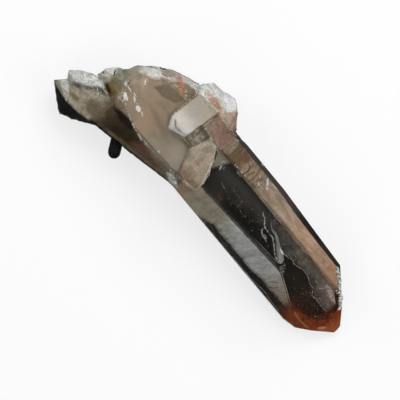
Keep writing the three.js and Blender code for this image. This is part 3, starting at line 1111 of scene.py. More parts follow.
    # Painted shade: near black along the root's underside.
    underside = s.y + 20.4 - (s.x + 48.5) ** 2 * 0.02 + (mottle - 0.5) * 0.5
    lay(underside.step(0.6, -0.1) * s.x.step(-35, -38), "120d07")
    lay(s.inside(((-33, -17.2), (-29.5, -22.5), (-24, -22.5), (-24, -15.8), (-27, -15.7)), 0.3), "070605")

    s.base = s.mix(s.z.step(2, 4.5), plain, s.base)
    grain = mottle * 0.6 + fine * 0.4
    s.base = s.shaded(s.base, (grain - 0.5) * (1.7 - 1.3 * calm) + 1)
    return matt(s, Normal=s.bump(grain * (1 - 0.8 * calm), 0.7))


def iron_material(colours):
    """The rust-red iron film under the tip's faces; it thins to nothing over the dark zone."""
    s = Shader("iron_stain")
    patches = s.noise(0.5, 5, 0.6)
    speckle = s.noise(1.7, 4, 0.6)
    later = s.y.step(-5.5, -1.5) * 0.15
    ring = (tip_arch(s) + (patches - 0.5) * 0.4 + (speckle - 0.5) * 0.2 - later).step(0.48, 1.02)
    start = (s.x + (patches - 0.5) * 5).step(38, 44.5)
    far = s.y.step(1.0, -0.5).most(s.x.step(50.5, 52.5))
    mottled = (speckle * 0.6 + patches * 0.4).step(0.38, 0.62)
    s.base = s.mix(mottled, tone("602a12", 1.75), tone("823e1c", 1.7))
    tip = (s.x - s.y * 0.25 + (patches - 0.5) * 3).step(53, 55.5)
    s.over(tip, s.mix(mottled, tone("8a4a2c", 1.5), rgba(colours.rust)))
    s.lay((s.x - s.y * 0.3 + (patches - 0.5) * 5).step(46, 42), "603a20", 1.7)
    s.lay(s.patch(52.9, -5.3, 1.4, 0.4, turn=55, wobble=0.6) * 0.7, "b8805f", 1.5)
    arc = (s.y + 8.9 - (s.x - 46.5) ** 2 * 0.03).abs()
    line = arc.step(0.3, 0.1) * s.x.step(43, 44.5) * s.x.step(51, 49.5)
    s.lay(line * 0.8, "b0765a", 1.5)
    alpha = (ring * start * far).held()
    return matt(s, Alpha=alpha)


def dust_material():
    """Pale specks."""
    s = Shader("pale_specks")
    shade = s.noise(0.9, 2)
    s.base = s.tones(shade.step(0.3, 0.7), "5c5040", "ab9f8c", 1.4)
    return s.finish(s.principled(Base_Color=s.base, Roughness=0.4))


def painted_glint_material():
    """Bright silvery white: a painted highlight, standing in for glints of light."""
    s = Shader("painted_glints")
    shade = s.noise(1.3, 2)
    s.base = s.tones(shade.step(0.3, 0.7), "b9b6b0", "f4f2ee", 1.5)
    return s.finish(s.principled(Base_Color=s.base, Roughness=0.3))


# ---- Marks ----


# The outlines of the veils, as (x, y).
NEAR_VEIL = (
    (-10, -6), (-3, -5.6), (5, -5.2), (15, -4.5), (29, -3.7), (33, -4.9), (38, -7), (43, -9.4),
    (43.4, -11), (30, -11.3), (14, -11.6), (8, -12.4), (-10, -12.5),
)
FAR_VEIL = (
    (-10, 5.95), (10, 5.75), (31.4, 5.55), (41.2, 9.7), (33, 9.9), (24, 10.3), (10, 11.2), (-10, 11.4),
)
FAR_END_VEIL = ((31.6, 5.5), (41.4, 9.7), (45, 7.1), (48.2, 4.7), (46.6, 4.4), (42, 4.9))
WEDGE_VEIL = ((-10, 5.4), (-1.5, 5.3), (-3.2, 1.8), (-3.6, -2), (-4, -4), (-10, -4))
SMOKE_VEIL = ((13, 5.6), (31.2, 5.35), (29.9, 0.25), (28, 0.1), (24, 1.2), (20, 2.8), (17, 4.5))
SMOKE_END_VEIL = (
    (31.45, 5.35), (42, 4.8), (47, 4.2), (50, 2.4), (50.5, 0), (50, -1), (48, -1.4), (44, -1),
    (41, -0.2), (39, 0.8), (36, 1.4), (32, 0.8), (30.2, 0.3),
)

# Healed cracks: the face above, the depth, and a route of (x, y, width).
CRACKS = (
    (TOP, 0.7, ((14.9, 3.4, 0.25), (15.4, 2.7, 0.4), (16.4, 2.6, 0.3), (17.7, 1.4, 0.45),
        (18.7, 0.8, 0.3))),
    (TOP, 0.7, ((18.6, 0.7, 0.3), (20.5, 0.6, 0.3), (22, 0.7, 0.35), (22.8, 0.5, 0.35), (23.4, 0, 0.35),
        (24.4, -0.5, 0.35), (25.4, -1.2, 0.35), (26.4, -1.9, 0.35), (27.4, -2.4, 0.3), (29.4, -2.6, 0.2))),
    (TOP, 0.9, ((18.4, 0.2, 0.3), (18.9, -0.7, 0.5), (20, -1.3, 0.5), (21.6, -1.4, 0.35),
        (22.4, -1.8, 0.15))),
    (TOP, 1.6, ((0, -0.4, 0.1), (1, -0.8, 0.2), (2, -1, 0.1))),
    (TOP, 0.6, ((-5, 4.6, 0.5), (-4.2, 3.7, 0.9), (-3.8, 2.7, 0.6), (-3.3, 1.6, 0.4))),
    (TOP, 0.6, ((-3, 3.1, 0.35), (-2.6, 2.5, 0.2))),
    (TOP, 0.8, ((26.6, 0.4, 0.12), (28.4, 0.1, 0.22), (29.8, 0.3, 0.2))),
    (END_SLANT, 0.8, ((30.8, 0.5, 0.15), (31.2, 1.1, 0.2), (32.5, 0.4, 0.25), (34, 0.8, 0.2),
        (35.5, 1.4, 0.22), (38, 1.3, 0.2), (39.4, 0.8, 0.22), (40.4, 0.2, 0.2), (42, 0.2, 0.18),
        (42.8, -0.8, 0.2))),
    (END_SLANT, 0.8, ((42.7, -0.8, 0.2), (43.5, -1.5, 0.22), (45, -1.2, 0.22), (47, -1.5, 0.22),
        (49, -1.4, 0.2), (50.3, -0.9, 0.12))),
    (END_SLANT, 0.8, ((40.7, 2.1, 0.25), (41.9, 2.3, 0.25))),
    (END_SLANT, 0.8, ((43.3, 1.5, 0.25), (44, 2.3, 0.3))),
    (END_SLANT, 0.8, ((48.3, 0.6, 0.25), (49.6, -0.3, 0.2))),
    (FAR_UPPER, 0.4, ((32, 9.2, 0.12), (36, 9.4, 0.2), (40, 9.3, 0.16))),
    (FAR_UPPER, 0.4, ((-3, 11.4, 0.3), (-2.9, 10.4, 0.3), (-2.6, 9.5, 0.12))),
    (FAR_UPPER, 0.4, ((5.8, 9.9, 0.15), (6.5, 9.1, 0.3))),
    (FAR_UPPER, 0.4, ((6.9, 8.4, 0.3), (8, 7.3, 0.4))),
    (FAR_UPPER, 0.4, ((8.4, 8.2, 0.2), (8.8, 7.6, 0.2))),
    (FAR_UPPER, 0.4, ((10.3, 8.8, 0.5), (11.4, 7.9, 0.12))),
    (FAR_UPPER, 0.4, ((9.2, 11.1, 0.12), (13, 11.0, 0.24), (17, 10.9, 0.12))),
    (NEAR_UPPER, 0.4, ((19, -12.2, 0.1), (28, -12.2, 0.15), (32, -11.8, 0.22), (34.5, -11.6, 0.22),
        (36, -12, 0.2), (41, -12.1, 0.1))),
)

# Flat chips, bright sparks, fins and dark cracks: the face above, the depth and the outline. The sparks are
# white chips whose near-white is partly painted highlight.
CHIPS = (
    (FAR_UPPER, 0.4, ((7.8, 11.2), (8.4, 11), (10.4, 9.3), (10.6, 8.6), (9, 8.6), (7.8, 9.9))),
    (TOP, 0.3, chip(1.3, 5.0, 0.8, 0.4)),
    (TOP, 0.3, chip(2.1, 4.95, 0.6, 0.5, 40)),
    (FAR_UPPER, 0.3, chip(2.6, 6.3, 0.45, 0.35, 60)),
    (FAR_UPPER, 0.3, chip(3.2, 6.15, 0.7, 0.3, -15)),
    (FAR_UPPER, 0.3, chip(7.1, 6.9, 0.35, 0.3, 15)),
    (FAR_UPPER, 0.3, chip(7.7, 6.6, 0.35, 0.25, -40)),
    (FAR_UPPER, 0.3, chip(4.1, 7.9, 0.35, 0.3)),
    (TOP, 0.6, chip(4.3, 0.7, 0.35, 0.25, 30)),
    (TOP, 0.6, chip(3.2, -1.1, 0.3, 0.2)),
    (TOP, 0.5, chip(-3.3, 1.5, 0.5, 0.4, 20)),
    (NEAR_UPPER, 0.4, chip(38.4, -8.0, 0.5, 0.3, 10)),
    (NEAR_UPPER, 0.4, chip(6, -12.1, 0.9, 0.25, 8)),
)

SPARKS = (
    (FAR_UPPER, 0.35, ((7.9, 11.1), (8.3, 11), (9.0, 10.2), (8.2, 10.0))),
    (FAR_UPPER, 0.35, ((8.6, 10.7), (9.4, 10.1), (9.9, 9.4), (9.2, 9.3), (8.8, 9.9))),
    (FAR_UPPER, 0.35, ((9.6, 9.2), (10.3, 9.1), (10.7, 8.5), (9.9, 8.6))),
    (FAR_UPPER, 0.35, band(((7.2, 8.1, 0.15), (7.9, 7.4, 0.3)))),
    (FAR_UPPER, 0.35, band(((5.9, 9.8, 0.12), (6.4, 9.2, 0.2)))),
    (FAR_UPPER, 0.35, band(((10.2, 11.05, 0.12), (12, 11.0, 0.2)))),
    (FAR_UPPER, 0.3, chip(-1.3, 6.1, 0.35, 0.2, 25)),
    (FAR_UPPER, 0.3, chip(-0.5, 6.1, 0.55, 0.25, -30)),
    (FAR_UPPER, 0.3, chip(0.1, 6.3, 0.35, 0.22, 60)),
    (FAR_UPPER, 0.3, chip(1.6, 6.15, 0.7, 0.3, 25)),
    (FAR_UPPER, 0.3, chip(2.9, 6.15, 0.6, 0.28, -25)),
    (FAR_UPPER, 0.3, chip(3.4, 6.05, 0.3, 0.2, 10)),
    (TOP, 0.3, chip(0.7, 5.0, 0.4, 0.2, -20)),
    (TOP, 0.5, chip(-3.3, 1.5, 0.45, 0.35, 20)),
    (TOP, 0.5, chip(16.4, 2.6, 0.35, 0.25, 30)),
    (TOP, 0.5, chip(18.6, 0.9, 0.4, 0.3, -30)),
)

FINS = (
    (TOP, 1.2, ((16, 5), (20.4, 2.3), (22.5, 2.2), (23.5, 1.9), (25.6, 0.8), (27, 0.25), (28.2, 0.1),
        (29.6, -1.1), (30.1, -2.2), (29.6, -2.8), (28.3, -2.5), (27.5, -2), (25.4, -0.5), (23.6, 0.8),
        (22.3, 1.5), (20.5, 1.7), (16, 4.6))),
    (END_SLANT, 0.5, ((30.6, -1.6), (31.4, -1.6), (32.3, -2.8), (33.4, -4.4), (32.2, -4.4), (30.6, -3.3))),
    (TOP, 1.1, ((19.8, -1.4), (21.2, -1.6), (21.7, -0.9), (20.6, -0.4), (19.8, -0.7))),
    (TOP, 0.8, band(((6.2, -1.9, 0.15), (6.8, -0.7, 0.3)))),
    (TOP, 0.8, band(((7.4, -0.4, 0.15), (6.6, -2.6, 0.3)))),
    (TOP, 0.8, band(((6, -2.2, 0.3), (7.2, -2.8, 0.25)))),
    (TOP, 0.8, band(((7.5, -1.5, 0.25), (10, -1.6, 0.4), (12.2, -2.2, 0.2)))),
    (NEAR_UPPER, 0.14, band(((-2, -4.95, 0.16), (15, -4.0, 0.2), (25, -3.4, 0.2), (28.6, -3.2, 0.2)))),
)

DARK_CRACKS = (
    (FAR_UPPER, 0.5, band(((1, 9.3, 0.15), (1.9, 9.0, 0.3), (2.5, 8, 0.35), (2.45, 6.6, 0.2)))),
    (NEAR_UPPER, 0.5, band(((32, -8.7, 0.15), (33, -7.6, 0.3), (34, -6.8, 0.15)))),
    (NEAR_UPPER, 0.5, band(((33, -10, 0.1), (34.6, -8.6, 0.25), (35, -7.8, 0.15)))),
)

# Routes of (x, y, width) in the surface.
SEAMS = (
    ((-35.5, -7.9, 0.15), (-33, -8.8, 0.25), (-31, -9.5, 0.3), (-30, -9.8, 0.3)),
    ((-30.5, -9.6, 0.3), (-28, -10, 0.35), (-25, -10.2, 0.15), (-19, -9.8, 0.12), (-14, -9.4, 0.1)),
    ((-40, -3.6, 0.35), (-38.5, -3.4, 0.35)),
    ((-37.5, -3.3, 0.35), (-36, -3.6, 0.35)),
    ((-31.4, -4.9, 0.2), (-30.2, -6.1, 0.35)),
    ((-40.3, -5, 0.6), (-39, -5.8, 1.8), (-38.2, -6.9, 1.9), (-37.2, -7.7, 0.7)),
    ((-37.2, -6.6, 0.3), (-36, -7.8, 0.2)),
    ((-44, -9.7, 0.3), (-42, -9.5, 0.2), (-39.6, -8.9, 0.3)),
    ((-39.6, 3, 0.2), (-38.2, 1.4, 0.5), (-36.2, 0.2, 0.2)),
    ((-28.4, 9.6, 0.3), (-27.4, 8.6, 0.5), (-26.2, 7.6, 0.3), (-25.2, 7.2, 0.2)),
    ((-24.9, 1.6, 0.15), (-25, 6, 0.2), (-24.9, 10.8, 0.2)),
    ((-16.4, 11.3, 0.3), (-16.2, 8.6, 0.25), (-16.3, 6, 0.2)),
    ((-14.9, 6.2, 0.15), (-15.1, 10, 0.15)),
    ((-16.6, 6.1, 0.2), (-14.6, 6.0, 0.3), (-12.5, 5.6, 0.25), (-8.6, 5.0, 0.25)),
    ((-6.9, 11, 0.15), (-6.5, 9.2, 0.18), (-6.8, 7.6, 0.15), (-6.5, 5.8, 0.15)),
    ((-5.9, 10.6, 0.12), (-5.7, 8, 0.14), (-5.9, 6, 0.14)),
    ((-5.2, 10.8, 0.15), (-5.3, 8.6, 0.15), (-4.9, 6.2, 0.2)),
    ((-16.6, 11.5, 0.2), (-13, 11.8, 0.3), (-9.8, 11.9, 0.2)),
    ((-19, -0.85, 0.25), (-16.5, -0.5, 0.35), (-14.5, -0.35, 0.25)),
    ((-13, -9.75, 0.2), (-8, -9.7, 0.2), (-3, -9.4, 0.2)),
    ((-12.6, -9.2, 0.15), (-8, -9.15, 0.2), (-3.4, -8.9, 0.15)),
    ((-14.4, -0.6, 0.25), (-13, -1.6, 0.25), (-11.2, -2.4, 0.3), (-10.6, -3.6, 0.25), (-10.8, -5, 0.25)),
)

FROST = (
    ((-19.5, -8.8, 0.35), (-18.6, -9, 0.3)),
    ((-12.9, -11, 0.7), (-11, -11.15, 1.8), (-9.2, -11.3, 1.6), (-7.4, -11.6, 0.6)),
    ((-24.6, 12.8, 0.9), (-23.6, 11.7, 0.9), (-22, 11.6, 0.5)),
    ((-46.5, -10.7, 0.5), (-45.6, -10.1, 0.7)),
    ((-48.2, -14.3, 0.35), (-47.8, -14.1, 0.35)),
    ((-46, -12.4, 0.3), (-45.6, -12.2, 0.3)),
    ((-48.3, -8.9, 0.5), (-47.8, -8.2, 0.5)),
    ((-52, -18.8, 0.4), (-50.2, -19.6, 0.6), (-48.6, -20.2, 0.3)),
    ((-9.5, 5, 0.3), (-8, 4.6, 0.25)),
    # A painted highlight along the plate's right rim.
    ((-7.6, 3.1, 0.2), (-6.5, 1.3, 0.3), (-5.3, -0.4, 0.3), (-4.2, -1.8, 0.3), (-3.4, -4.5, 0.2)),
    ((-9.1, 2.2, 0.25), (-8.6, 2.2, 0.25)),
    ((-7.7, 2.2, 0.3), (-7.2, 2.2, 0.25)),
    ((-7.3, 11.3, 0.45), (-6.1, 11.4, 0.45)),
    ((3.4, 12.35, 0.25), (4.5, 12.3, 0.25)),
)

# Painted highlights: bright white chips where the root glints, as routes of (x, y, width) in the surface.
PAINTED_HIGHLIGHTS = (
    ((-33.8, -5.0, 0.6), (-33.2, -5.25, 1.35), (-32.6, -5.45, 1.35), (-31.9, -5.7, 0.5)),
    ((-41.7, -2.9, 0.35), (-41.2, -3.4, 0.6), (-40.7, -3.9, 0.35)),
    ((-40, -3.6, 0.12), (-39.2, -3.5, 0.25), (-38.4, -3.4, 0.12)),
    ((-37.6, -3.3, 0.12), (-36.8, -3.4, 0.25), (-36, -3.6, 0.12)),
    ((-36.7, -3.9, 0.2), (-35.8, -4.4, 0.5), (-34.9, -4.9, 0.25)),
    ((-39.2, -5.1, 0.5), (-38.4, -5.8, 1.1), (-37.6, -6.7, 0.5)),
    ((-37.7, -5.5, 0.35), (-37.0, -6.3, 0.5)),
    ((-39.7, -7.4, 0.3), (-39.0, -8.1, 0.35)),
    ((-38.6, 2.2, 0.15), (-37.9, 1.5, 0.3), (-37.2, 0.6, 0.12)),
    ((-27, -10.2, 0.3), (-26, -10.4, 0.55), (-25, -10.7, 0.25)),
    ((-24.2, -10.3, 0.12), (-23.5, -10.2, 0.25), (-22.8, -10.1, 0.15)),
    ((-19.4, -8.8, 0.25), (-19, -8.9, 0.25)),
    ((-8.8, 2.25, 0.2), (-8.6, 2.3, 0.2)),
    ((-7.6, 2.2, 0.25), (-7.35, 2.2, 0.25)),
    ((-6.5, 1.5, 0.25), (-6.3, 1.3, 0.2)),
    ((-46.4, -10.6, 0.4), (-45.7, -10.1, 0.5)),
    ((-11.6, -10.9, 0.4), (-11, -11.2, 0.4)),
    ((-9.4, -10.9, 0.5), (-8.8, -11.3, 0.4)),
)

# Dark lines in the root's grooves, crevices and seams, as routes of (x, y, width): partly painted shade,
# where they lie in grooves and under rims.
CREVICES = (
    ((-46, -3.2, 0.3), (-45.6, -4.2, 0.45), (-45.2, -5, 0.3)),
    ((-48.4, -6.4, 0.5), (-47.7, -6.6, 0.5)),
    ((-41.2, 5.6, 0.2), (-39.6, 5.5, 0.3), (-38, 6.6, 0.2)),
    ((-39, 7.2, 0.2), (-37.4, 7.8, 0.3), (-36, 9, 0.2)),
    ((-36.4, 6.9, 0.2), (-34.4, 7.2, 0.2)),
    ((-16.4, 10.9, 0.15), (-16.5, 8.8, 0.15)),
    ((-8.6, 4.8, 0.3), (-7.6, 3.7, 0.5), (-6.5, 2.4, 0.3)),
    ((-13.1, 4, 0.4), (-12.9, 5.2, 0.5)),
    ((-15.9, 4.8, 0.3), (-15.6, 2.5, 0.25), (-15.2, -0.4, 0.2)),
    ((-41, -1.6, 0.15), (-40.4, -2.8, 0.25), (-40.8, -3.2, 0.15)),
)

CRUST_RIM = ((42.2, 10.3), (45.2, 8.6), (48, 6.7), (50, 5.5), (51.3, 4.1), (52.5, 2.7))

# Where the pale specks lie: the face above, the depth and the outline.
DUSTY = (
    (TOP, 1.2, ((3, -3.2), (15, -3), (29, -2.4), (29.6, 2), (22, 3.4), (12, 2), (3, 2))),
    (END_SLANT, 0.8, ((33, -3.6), (42, -7.2), (50, -6.8), (51, 0), (46, 0.6), (38, 0.5))),
    (END_SLANT, 1.1, ((40, -5), (50, -5.4), (51, -0.4), (42, 0))),
    (END_SLANT, 0.6, ((38, -5), (50, -5.4), (51, -0.4), (40, 0))),
    (NEAR_UPPER, 0.5, ((-2, -6.4), (28, -4.8), (41, -9.4), (41, -11.4), (-2, -11.2))),
    (FAR_UPPER, 0.5, ((-3, 6.4), (30, 6.2), (40, 9.4), (-3, 11.2))),
)

# Routes of (x, y, width) where the painted highlights crowd: silver glints of light.
GLINTING = (
    ((-42, -3.4, 1.2), (-37, -3.8, 0.8), (-33, -5, 0.8), (-30.5, -6, 0.6)),
    ((-39.2, -4.9, 1.0), (-38, -6.6, 1.0)),
    ((-28, -10.1, 0.4), (-25, -10.3, 0.6), (-22.5, -10.1, 0.4)),
    ((-27, 12.4, 1.4), (-23, 12, 1.6), (-20.6, 11.6, 1.0)),
    ((-33, 6.6, 1.0), (-28.4, 9, 1.0), (-25.4, 7, 0.8)),
    ((-40, 5, 1.6), (-35, 5.4, 1.2)),
    ((-52, -13, 2.4), (-47, -11.6, 2.4), (-43, -11, 1.6)),
    ((-53, -17.6, 1.4), (-49, -19.6, 1.0)),
    ((-13, 3, 1.2), (-12.6, 0.4, 1.2)),
    ((-10.5, 1.8, 0.8), (-6, 1.6, 0.8)),
    ((-10, -6, 2.2), (-6, -7.6, 1.6), (-4.4, -6.4, 1.0)),
    ((-11.6, -10.8, 1.6), (-8.6, -10.8, 1.4)),
    ((42.4, 9, 1.0), (47, 6, 1.4), (51, 3.4, 0.9)),
)

CRUST_SHADOW = (
    ((43.2, 9.1, 0.3), (45.5, 7.4, 0.5), (47.5, 5.7, 0.5), (49, 4.6, 0.5), (50.5, 3.1, 0.45),
        (51.5, 1.8, 0.3)),
)


# ---- Settings ----


class CrystalSizes(bpy.types.PropertyGroup):
    root_roughness: bpy.props.FloatProperty(
        name="Root roughness", description="How strongly the root's surface is stepped", default=1.0, min=0.0)
    edge_width: bpy.props.FloatProperty(
        name="Edge width", description="Width of the worn edges of the prism, in millimetres", default=0.22)
    cloud_depth: bpy.props.FloatProperty(
        name="Cloud depth", description="Depth of the clouds in the root, in millimetres", default=0.5)
    veil_depth: bpy.props.FloatProperty(
        name="Veil depth", description="Depth of the veils in the prism, in millimetres", default=0.8)
    film_depth: bpy.props.FloatProperty(
        name="Film depth", description="Depth of the iron film in the tip, in millimetres", default=0.35)
    fleck_size: bpy.props.FloatProperty(
        name="Fleck size", description="Half the length of the largest flecks, in millimetres", default=0.75)
    fleck_density: bpy.props.FloatProperty(
        name="Fleck density", description="Flecks on each square millimetre where they crowd", default=1.3)


class CrystalColours(bpy.types.PropertyGroup):
    smoke: bpy.props.FloatVectorProperty(
        name="Smoke", description="Colour of the light that smoky quartz lets through", subtype="COLOR",
        default=(0.62, 0.55, 0.48))
    smoke_density: bpy.props.FloatProperty(
        name="Smoke density", description="How fast the smoke swallows light, per metre", default=45.0)
    # The dark core's colour: near black, painted shade for the darkness seen through the prism.
    phantom: bpy.props.FloatVectorProperty(
        name="Phantom", description="Colour of the dark growth zone", subtype="COLOR",
        default=(0.012, 0.011, 0.010))
    frost: bpy.props.FloatVectorProperty(
        name="Frost", description="Colour of the frosted chips", subtype="COLOR", default=(0.8, 0.8, 0.78))
    crack: bpy.props.FloatVectorProperty(
        name="Cracks", description="Colour of the healed cracks", subtype="COLOR", default=(0.62, 0.62, 0.6))
    rust: bpy.props.FloatVectorProperty(
        name="Rust", description="Colour of the iron film", subtype="COLOR", default=(0.5, 0.14, 0.05))
    veil_gain: bpy.props.FloatProperty(
        name="Veil strength", description="How light the veils under the prism's faces are", default=2.4)
    cloud_gain: bpy.props.FloatProperty(
        name="Cloud strength", description="How light the root's clouds are", default=1.65)


# ---- Operators ----


def crystal_settings(context):
    return context.scene.crystal_sizes, context.scene.crystal_colours


class CRYSTAL_OT_shell(bpy.types.Operator):
    """Makes the crystal's outer surface: sharp worn edges on the prism, stepped breaks on the root"""

    bl_idname = "crystal.shell"
    bl_label = "Quartz surface"

    def execute(self, context):
        sizes, colours = crystal_settings(context)
        bm = crystal_mesh()
        root_end = spot(ROOT_BORDER, 0).x
        bmesh.ops.bisect_plane(bm, geom=whole(bm), plane_co=spot(ROOT_BORDER, 0), plane_no=(1, 0, 0))
        edges = [
            e for e in bm.edges
            if len(e.link_faces) == 2 and e.calc_face_angle() > math.radians(WORN_ANGLE)
            and min(v.co.x for v in e.verts) > root_end - 0.01 * MM
        ]
        bmesh.ops.bevel(
            bm, geom=edges, offset=sizes.edge_width * MM / 2, offset_type="WIDTH", segments=2,
            profile=0.5, affect="EDGES", clamp_overlap=True,
        )
        settle_order(bm)
        bmesh.ops.triangulate(bm, faces=[f for f in bm.faces if f.calc_center_median().x < root_end])
        settle_order(bm)
        refine_root(bm)
        for vert in bm.verts:
            vert.co += warp(vert.co, sizes)
            vert.co.z = max(vert.co.z, 0)
        shell = finished(bm, "quartz_surface", quartz_material(colours), SMOOTH_ANGLE)
        for face in shell.data.polygons:
            if face.center.x > root_end:
                face.use_smooth = False
        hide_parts(NODE)
        return {"FINISHED"}


class CRYSTAL_OT_dark_core(bpy.types.Operator):
    """Makes the near-black core sealed in the prism, painted shade for the darkness seen through it"""

    bl_idname = "crystal.phantom"
    bl_label = "Dark phantom"

    def execute(self, context):
        colours = crystal_settings(context)[1]
        # The core comes close under the lower faces, so that they show dark strips of painted shade.
        depths = {
            TOP: 4.0, NEAR_UPPER: 1.1, NEAR_LOWER: 0.3, UNDER: 0.5, FAR_LOWER: 0.3, FAR_LOWER_TAPER: 0.3,
            FAR_UPPER: 1.1, END_SLANT: 2.4, END_NEAR: 1.1, END_NEAR_LOW: 0.9, END_FAR: 0.5, END_FAR_TIP: 1.5,
            END_FAR_LOW: 0.9, END_UNDER: 1.6,
        }
        bm = solid_inside(inset(prism_faces(), depths), spot(-9.2, -20, 1), spot(TIP_X - 3, 20, 30))
        finished(bm, "dark_phantom", dark_core_material(colours))
        return {"FINISHED"}


class CRYSTAL_OT_veils(bpy.types.Operator):
    """Makes the thin veils sealed under the prism's upper faces"""

    bl_idname = "crystal.veils"
    bl_label = "Veils"

    def execute(self, context):
        sizes, colours = crystal_settings(context)
        faces = prism_faces()
        deep = sizes.veil_depth
        for name, material, sheets in (
            ("grey_sheet", grey_sheet_material(colours), ((NEAR_UPPER, deep, NEAR_VEIL),)),
            ("tan_veil", tan_veil_material(colours),
             ((FAR_UPPER, deep, FAR_VEIL), (END_SLANT, deep, FAR_END_VEIL))),
            ("smoke_veil", smoke_veil_material(),
             ((TOP, 1.6, WEDGE_VEIL), (TOP, 2.2, SMOKE_VEIL), (END_SLANT, 1.4, SMOKE_END_VEIL))),
        ):
            sheets_piece(name, material, faces, sheets, SHEET_THICKNESS)
        return {"FINISHED"}


class CRYSTAL_OT_cracks(bpy.types.Operator):
    """Makes the healed cracks: silvery ribbons and feathers sealed under the prism's faces"""

    bl_idname = "crystal.cracks"
    bl_label = "Healed cracks"

    def execute(self, context):
        colours = crystal_settings(context)[1]
        faces = prism_faces()
        ribbons = [(key, depth, band(route)) for key, depth, route in CRACKS]
        for name, material, sheets in (
            ("healed_cracks", crack_material(colours), (*ribbons, *CHIPS)),
            # The sparks are white chips drawn in the near-white of a painted highlight.
            ("sparks_and_highlights", painted_glint_material(), SPARKS),
            ("grey_fin", fin_material(), FINS),
            ("dark_cracks", crevice_material(), DARK_CRACKS),
        ):
            sheets_piece(name, material, faces, sheets, CRACK_THICKNESS)
        return {"FINISHED"}


class CRYSTAL_OT_cloud(bpy.types.Operator):
    """Makes the clouds that fill the root, just under its surface"""

    bl_idname = "crystal.cloud"
    bl_label = "Root clouds"

    def execute(self, context):
        sizes, colours = crystal_settings(context)
        bm = crystal_mesh()
        cut = bmesh.ops.bisect_plane(
            bm, geom=whole(bm), plane_co=spot(CLOUD_END, 0), plane_no=(1, 0, 0), clear_outer=True,
        )
        bmesh.ops.holes_fill(bm, edges=[g for g in cut["geom_cut"] if isinstance(g, bmesh.types.BMEdge)])
        bmesh.ops.triangulate(bm, faces=bm.faces[:])
        refine_root(bm)
        bm.normal_update()
        for vert in bm.verts:
            move = warp(vert.co, sizes)
            near_veils = smoothstep(-12.5, -9.5, vert.co.x / MM - SHIFT.x)
            depth = sizes.cloud_depth + (sizes.veil_depth - sizes.cloud_depth) * near_veils
            vert.co += move - vert.normal * depth * MM
            vert.co.z = max(vert.co.z, CLOUD_FLOOR * MM)
        finished(bm, "root_clouds", cloud_material(colours), SMOOTH_ANGLE)
        return {"FINISHED"}


class CRYSTAL_OT_grown(bpy.types.Operator):
    """Makes the cream crystal, the grey step and the grainy plate that show in the root's upper side"""

    bl_idname = "crystal.grown"
    bl_label = "Grown crystals"

    def execute(self, context):
        for name, corners, material in (
            ("cross_crystal", CROSS_CRYSTAL, cross_material()),
            ("step_block", STEP_BLOCK, step_material()),
            ("grainy_plate", GRAINY_PLATE, plate_material()),
        ):
            finished(grown_block(corners), name, material, 30)
        return {"FINISHED"}


class CRYSTAL_OT_seams(bpy.types.Operator):
    """Makes the cream seams between the root's crystals and the frosted chips along the rims"""

    bl_idname = "crystal.seams"
    bl_label = "Seams and frost"

    def execute(self, context):
        sizes, colours = crystal_settings(context)
        surface = Surface(sizes)
        for name, material, strips, depth in (
            ("cream_seams", seam_material(), SEAMS, 0.28),
            ("white_frost", frost_material(colours), FROST, 0.16),
            # The bright chips are painted highlights.
            ("painted_highlight_chips", painted_glint_material(), PAINTED_HIGHLIGHTS, 0.14),
            # The dark crevices are partly painted shade.
            ("dark_crevices", crevice_material(), CREVICES, 0.22),
            ("crust_shadow", crevice_material(), CRUST_SHADOW, 0.1),
        ):
            bm = bmesh.new()
            for route in strips:
                surface.add_seam(bm, route, depth)
            bmesh.ops.recalc_face_normals(bm, faces=bm.faces)
            finished(bm, name, material)

        rng = random.Random(CRUST_SEED)
        crust = bmesh.new()
        for (x0, y0), (x1, y1) in zip(CRUST_RIM, CRUST_RIM[1:]):
            for k in range(CRUST_SPLINTERS):
                t = (k + rng.random()) / CRUST_SPLINTERS
                inward = rng.uniform(0.05, 0.9)
                x, y = x0 + (x1 - x0) * t - inward * 0.6, y0 + (y1 - y0) * t - inward * 0.8
                ground = surface.under(x - 0.6, y - 0.8, 0.25)
                place = Vector((*spot(x, y).xy, ground.z))
                rooted = surface.tree.find_nearest(place)[0]
                add_splinter(crust, rooted.lerp(place, 0.25), rng.uniform(0.3, 0.65), rng)
        drop_loose(crust)
        finished(crust, "tip_crust", crust_material())
        return {"FINISHED"}


class CRYSTAL_OT_flecks(bpy.types.Operator):
    """Scatters pale specks where the quartz is dusty, and bright splinters where it is cracked: the splinters
    are painted highlights
    """

    bl_idname = "crystal.flecks"
    bl_label = "Flecks"

    def execute(self, context):
        sizes = crystal_settings(context)[0]
        faces = prism_faces()
        surface = Surface(sizes)
        tree = fleck_tree()
        crowd = sizes.fleck_density / MM**2

        dusty = bmesh.new()
        for key, depth, corners in DUSTY:
            add_sheet(dusty, faces[key], corners, depth)
        keep_upper_faces(dusty)
        scattered(
            dusty, tree, "pale_specks", "healed_crack", Density=crowd * SPECK_SHARE,
            Size=sizes.fleck_size * SPECK_SIZE * MM, Flatness=1.0, Seed=SPECK_SEED, Material=dust_material(),
        )

        # Painted highlights: bright splinters that stand in for glints of light.
        glinting = bmesh.new()
        for route in GLINTING:
            surface.add_seam(glinting, route, GLINT_DEPTH)
        keep_upper_faces(glinting)
        scattered(
            glinting, tree, "painted_glints", "healed_crack", Density=crowd,
            Size=sizes.fleck_size * GLINT_SIZE * MM, Flatness=0.7, Seed=GLINT_SEED, Material=painted_glint_material(),
        )
        return {"FINISHED"}


